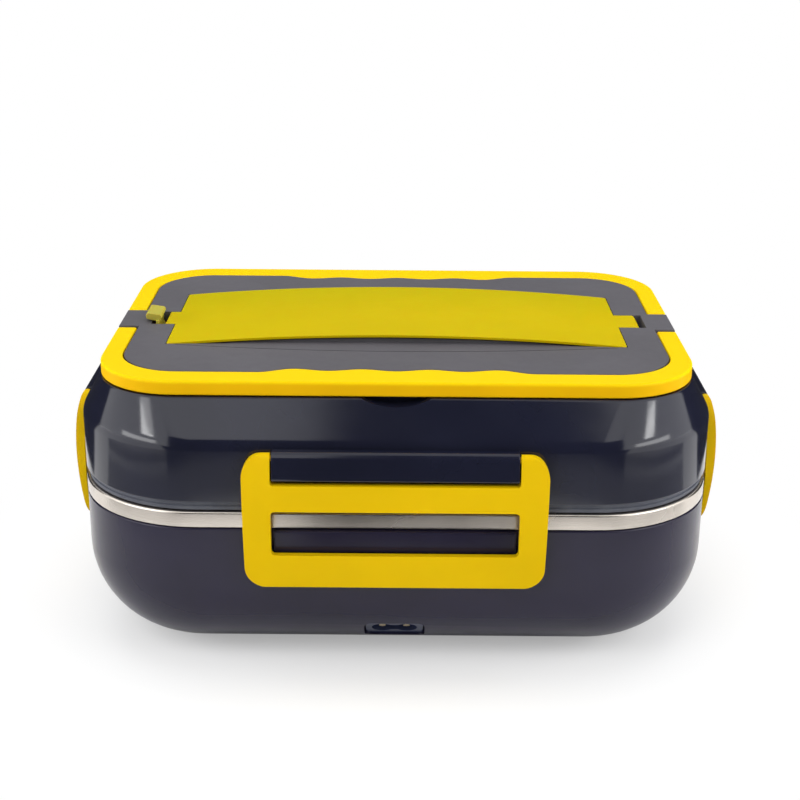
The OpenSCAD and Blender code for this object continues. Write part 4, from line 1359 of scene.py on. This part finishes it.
    def thumb(self) -> Piece:
        """Makes the finger latch: half a bend, an upright and a head that overhangs to the left.

        Returns:
            The latch.
        """
        bench, top, half, reach = self.bench, self.plan.top, self.thumb_w / 2, self.thumb_head_w / 2
        x = self.spring[0] - self.spring_r - self.spring_t
        head = [(1, 0.45), (1.8, 1.1), (2.1, 1.7), (1.9, 2.5), (1.3, 2.95), (-2.9, 3.5), (-3.6, 3.2),
                (-3.9, 2.5), (-3.8, 1.5), (-3.4, 1.0), (-1, 0.5), (0, 0.3)]
        thumb = bench.prism("thumb", [(x + u, top + v) for u, v in head], Axis.Y, -reach, reach)
        bench.soften(thumb, 0.4, 3, 30)
        leg = bench.box("thumb_leg", (x, -half, self.spring[1] - 0.2), (x + self.spring_t, half, top + 0.9))
        bench.soften(leg, 0.25, 3, 30)
        bend = bench.prism("thumb_bend", self.bend(-1), Axis.Y, -half, half)
        return bench.polish(bench.join(thumb, leg, bend))


@dataclass
class SnapLatches(Maker):
    """The four latches: bowed frames with a window, hung on pins in the lid's brackets."""

    half_widths: Point = (51.6, 29)  # long sides, short sides
    legs: Point = (9.6, 8)
    taper: float = 0.4
    height: float = 49.4
    lower_bar: float = 13.1
    window: float = 16.5
    upper_bar: float = 9.1
    corner: float = 8
    pivot: Point = (-2.2, 82.7)  # Y and Z
    knuckle: float = 1.9
    tip_out: float = 2.75
    tip_r: float = 0.65

    def build(self) -> None:
        """Builds the four latches."""
        for side in Side:
            name = side.name.lower() + "_latch"
            latch = self.bench.polish(self.at_wall(self.latch(name + "_frame", side), side))
            self.finishes.dress(latch, "latch_yellow", name, name)

    def latch(self, name: str, side: Side) -> Piece:
        """Makes a latch, drawn at the front wall.

        Args:
            name: the piece's name.
            side: the side of the box that it is for.
        Returns:
            The latch.
        """
        bench, half = self.bench, side.pick(self.half_widths)
        inner, top = half - side.pick(self.legs), self.pivot[1] + self.knuckle
        low = top - self.height
        gap_low = low + self.lower_bar
        gap_top = gap_low + self.window
        notch = gap_top + self.upper_bar
        latch = bench.prism(name, self.outline(half, low, top), Axis.Y, -12, 1)
        window = bench.box("window", (-inner, -14, gap_low), (inner, 3, gap_top))
        bench.round_edges(window, Axis.Y.holds, 1.5, 5)
        notch_box = bench.box("notch", (-inner, -14, notch), (inner, 3, top + 5))
        bench.round_edges(notch_box, lambda a, b: Axis.Y.holds(a, b) and abs(a.z - notch) < NEAR, 1, 4)
        bench.cut(latch, window, notch_box)
        bench.trim(latch, bench.prism("side_view", self.profile(), Axis.X, -half - 1, half + 1))
        bench.soften(latch, 0.75, 4, 38)
        return bench.join(latch, *[bench.rod("pin", Axis.X, (x * (inner - 1), *self.pivot), 1.1, 4)
                                   for x in (-1, 1)])

    def outline(self, half: float, low: float, top: float) -> list[Point]:
        """Draws the frame's outside, which is narrower at the bottom.

        Args:
            half: half its width at the top.
            low: the level of its lower end.
            top: the level of its upper end.
        Returns:
            Its outline in X and Z.
        """
        r = self.corner
        slope = math.atan2(self.taper, top - low - 2 * r)
        points = arc((half - r, top - r), r, QUARTER, -slope, 12)
        points += arc((half - self.taper - r, low + r), r, -slope, -QUARTER, 12)
        return points + [(-x, z) for x, z in reversed(points)]

    def profile(self) -> list[Point]:
        """Draws the side view: bowed out in the middle, round at both ends.

        Returns:
            Its outline in Y and Z.
        """
        (y, z), knuckle, out, r = self.pivot, self.knuckle, self.tip_out, self.tip_r
        low = z + knuckle - self.height + r
        outer = self.bow((y - knuckle, z), (y - 4.5, z - 10.4), (y - 5.4, low + 19.8), (-out - r, low))
        inner = self.bow((y + knuckle, z), (y - 0.6, z - 6.4), (y - 2.2, low + 17.8), (-out + r, low))
        tip = arc((-out, low), r, math.pi, 2 * math.pi, 10)[1:-1]
        return outer + tip + inner[::-1] + arc((y, z), knuckle, 0, math.pi, 10)[1:-1]

    def bow(self, a: Point, b: Point, c: Point, d: Point) -> list[Point]:
        """Returns points on the smooth curve from a to d that b and c pull on."""
        return [tuple((1 - t) ** 3 * a[k] + 3 * (1 - t) ** 2 * t * b[k] + 3 * (1 - t) * t * t * c[k]
                      + t ** 3 * d[k] for k in (0, 1)) for t in (i / 16 for i in range(17))]


# ---------- Studio ----------


@dataclass(frozen=True)
class Lamp:
    """A soft rectangular lamp, in metres and watts.

    Args:
        name: its name.
        place: where it stands.
        aim: the level that it faces, over the origin.
        size: its width and height.
        power: its power.
    """

    name: str
    place: Triple
    aim: float
    size: Point
    power: float

    def build(self) -> None:
        """Adds the lamp, which polished surfaces don't mirror."""
        data = bpy.data.lights.new(self.name, "AREA")
        data.shape, data.energy = "RECTANGLE", self.power
        data.size, data.size_y = self.size
        lamp = bpy.data.objects.new(self.name, data)
        bpy.context.scene.collection.objects.link(lamp)
        lamp.location = self.place
        lamp.visible_glossy = False
        ray = Vector((0, 0, self.aim)) - Vector(self.place)
        lamp.rotation_euler = ray.to_track_quat("-Z", "Y").to_euler()


@dataclass(frozen=True)
class Card:
    """A glowing or dark part of a ring round the box, flat or upright, that only reflections show.

    Args:
        radii: its inner and outer radius.
        turns: where it starts and ends, in degrees from the front, seen from above.
        levels: its lowest and highest level.
        glow: how bright it is, where 1 is white.
    """

    radii: Point
    turns: Point
    levels: Point
    glow: float

    def build(self, name: str) -> None:
        """Adds the card.

        Args:
            name: its name.
        """
        start, end = [math.radians(a - 90) for a in self.turns]
        inner, outer = [arc((0, 0), radius, start, end, 36) for radius in self.radii]
        card = Workbench().prism(name, outer + inner[::-1], Axis.Z, *self.levels)
        material, graph = new_material(name)
        graph.end("ShaderNodeEmission", {"Color": WHITE, "Strength": self.glow})
        card.data.materials.append(material)
        for ray in ("camera", "diffuse", "shadow", "transmission", "volume_scatter"):
            setattr(card, f"visible_{ray}", False)


@dataclass
class Studio:
    """The pale floor, the soft lamps, the cards and the camera at the photograph's angle."""

    camera_at: Triple = (0.00098, -0.5518, 0.2743)
    elevation: float = 20
    yaw: float = -0.04
    roll: float = 0.48
    lens: float = 68.2
    sensor: float = 36
    ambient: float = 0.5
    floor_size: float = 12
    floor_fade: Point = (0.1, 0.23)  # where its fade to white starts and ends
    floor_white: float = 0.35  # how white it looks inside that
    floor_stretch: float = 1.6
    paper: Triple = (0.9, 0.9, 0.9)
    lamps: tuple[Lamp, ...] = (
        Lamp("key", (-0.9, -1.1, 1.5), 0.05, (1.1, 1.1), 14),
        Lamp("fill", (1.2, -0.7, 1.0), 0.06, (0.9, 1.1), 8),
        Lamp("top", (0, 0.35, 1.6), 0.08, (1.5, 1.1), 13),
        Lamp("left", (-1.3, 0.15, 0.25), 0.06, (0.8, 0.4), 11),
        Lamp("right", (1.3, 0.15, 0.25), 0.06, (0.8, 0.4), 11))
    card_t: float = 5
    far: float = 900  # radius of the dark walls
    strip_back: float = 50  # how far behind them the strips and the rims stand
    sky_back: float = 90
    rise: float = 520  # height of the dark walls
    flat: Point = (0.5, 1.5)  # levels of the cards on the floor
    front_near: float = 292
    rear_near: float = 230
    # a grey floor card that the walls mirror, painted shade for the floor in the box's soft shadow
    floor_shade_near: float = 240
    # a dark floor card whose reflection in the steel behind the front latch's window is painted shade for the
    # shadow of the latch's upper bar
    window_shade_near: float = 182
    window_shade_turns: Point = (-12, 15)
    window_shade_levels: Point = (2, 3)
    front_turn: float = 36
    front_lap: float = 6
    rear_turn: float = 100
    flag_turns: Point = (-5, 13.6)
    arc_end: float = 82
    arc_radii: Point = (304, 320)
    strip_turns: tuple[Point, Point] = ((-54, -43), (49, 58))
    strip_levels: Point = (325, 400)
    strip_top: float = 540
    strip_fade: float = 0.4  # how bright its upper part is, beside its lower one
    rim_turns: Point = (40, 72)
    rim_levels: Point = (60, 200)
    dark_glow: float = 0.03
    floor_shade_glow: float = 0.5
    sky_glow: float = 1.6
    strip_glow: float = 12
    rim_glow: float = 6

    def build(self) -> None:
        """Sets up the camera, the floor, the sky, the lamps and the cards."""
        self.camera()
        self.floor()
        self.sky()
        for lamp in self.lamps:
            lamp.build()
        for i, card in enumerate(self.cards()):
            card.build(f"card_{i}")
        bpy.context.scene.view_settings.view_transform = "Standard"

    def camera(self) -> None:
        """Adds the camera."""
        camera = bpy.data.objects.new("camera", bpy.data.cameras.new("camera"))
        bpy.context.scene.collection.objects.link(camera)
        camera.data.lens = self.lens
        camera.data.sensor_width = self.sensor
        yaw, tilt, roll = [Matrix.Rotation(math.radians(angle), 4, axis) for angle, axis in
                           ((self.yaw, "Z"), (90 - self.elevation, "X"), (self.roll, "Z"))]
        camera.matrix_world = Matrix.Translation(self.camera_at) @ (yaw @ tilt @ roll)
        bpy.context.scene.camera = camera

    def floor(self) -> None:
        """Adds the floor, which to the camera fades to plain white away from the box."""
        bpy.ops.object.select_all(action="DESELECT")
        bpy.ops.mesh.primitive_plane_add(size=self.floor_size)
        floor = bpy.context.object
        floor.name = floor.data.name = "floor"
        material, graph = new_material("floor")
        x, y, _ = graph.xyz()
        far = ((x * x) * self.floor_stretch + y * y) ** 0.5
        seen = graph.node("ShaderNodeLightPath", output="Is Camera Ray")
        share = seen * graph.step(far, *self.floor_fade, self.floor_white, 1)
        paper = graph.node("ShaderNodeBsdfDiffuse", {}, {"Color": self.paper})
        white = graph.node("ShaderNodeEmission", {}, {"Color": WHITE, "Strength": 1})
        graph.end("ShaderNodeMixShader", {0: share, 1: paper, 2: white})
        floor.data.materials.append(material)

    def cards(self) -> list[Card]:
        """Works out what only polished surfaces see: dark and grey cards, a paler sky, bright strips; the
        grey card and the dark card before the front latch are painted shade.

        Returns:
            The cards.
        """
        near, far, rise, dark, front = self.front_near, self.far, self.rise, self.dark_glow, self.front_turn
        rear, lap, strips, sky = self.rear_turn, self.front_lap, far + self.strip_back, far + self.sky_back
        wall, strip_wall, sky_wall = [(at, at + self.card_t) for at in (far, strips, sky)]
        cards = [Card((near, far), (-front, front), self.flat, dark),
                 Card(wall, (lap - front, front - lap), (0, rise), dark),
                 Card((self.rear_near, far), (rear, 360 - rear), self.flat, dark),
                 Card(wall, (rear, 360 - rear), (0, rise), dark),
                 Card(wall, self.flag_turns, (rise, 3 * rise), dark),
                 # painted shade: the grey card darkens the floor that the walls mirror near the box
                 Card((self.floor_shade_near, near), (-self.arc_end, self.arc_end), self.flat, self.floor_shade_glow),
                 # painted shade: a dark card that darkens the steel seen through the front latch's window
                 Card((self.window_shade_near, near), self.window_shade_turns, self.window_shade_levels, dark),
                 Card(sky_wall, (self.flag_turns[1], rear), (0, 3 * rise), self.sky_glow),
                 Card(sky_wall, (-rear, self.flag_turns[0]), (0, 3 * rise), self.sky_glow)]
        for side, turns in zip((-1, 1), self.strip_turns):
            faded = self.strip_fade * self.strip_glow
            cards += [Card(strip_wall, turns, self.strip_levels, self.strip_glow),
                      Card(strip_wall, turns, (self.strip_levels[1], self.strip_top), faded),
                      Card(self.arc_radii, tuple(sorted((side * front, side * self.arc_end))),
                           self.flat, dark),
                      Card(strip_wall, tuple(sorted(side * a for a in self.rim_turns)), self.rim_levels,
                           self.rim_glow)]
        return cards

    def sky(self) -> None:
        """Makes the world white to the eye and in reflections, and a soft fill otherwise."""
        world = bpy.data.worlds.new("studio")
        world.use_nodes = True
        bpy.context.scene.world = world
        graph = Graph(world.node_tree)
        seen, *rays = [graph.node("ShaderNodeLightPath", output=f"Is {ray} Ray")
                       for ray in ("Camera", "Glossy", "Transmission")]
        for ray in rays:
            seen = graph.node("ShaderNodeMath", {"operation": "MAXIMUM"}, {0: seen, 1: ray})
        soft, plain = [graph.node("ShaderNodeBackground", {}, {"Color": WHITE, "Strength": strength})
                       for strength in (self.ambient, 1)]
        graph.end("ShaderNodeMixShader", {0: seen, 1: soft, 2: plain}, "World")


def main() -> None:
    """Builds the lunch box and the studio round it."""
    logging.basicConfig(level=logging.INFO, format="%(message)s")
    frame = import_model()
    bench, finishes = Workbench(), Finishes()
    handles = CarryHandles(bench, finishes)
    for part in (HeatedBase(bench, finishes), FoodContainer(bench, finishes), Lid(bench, finishes), handles,
                 CutleryTray(bench, finishes, handles=handles), SnapLatches(bench, finishes)):
        part.build()
        LOG.info("%s is built", type(part).__name__)
    finishes.repaint(frame)
    Studio().build()


if __name__ == "__main__":
    main()
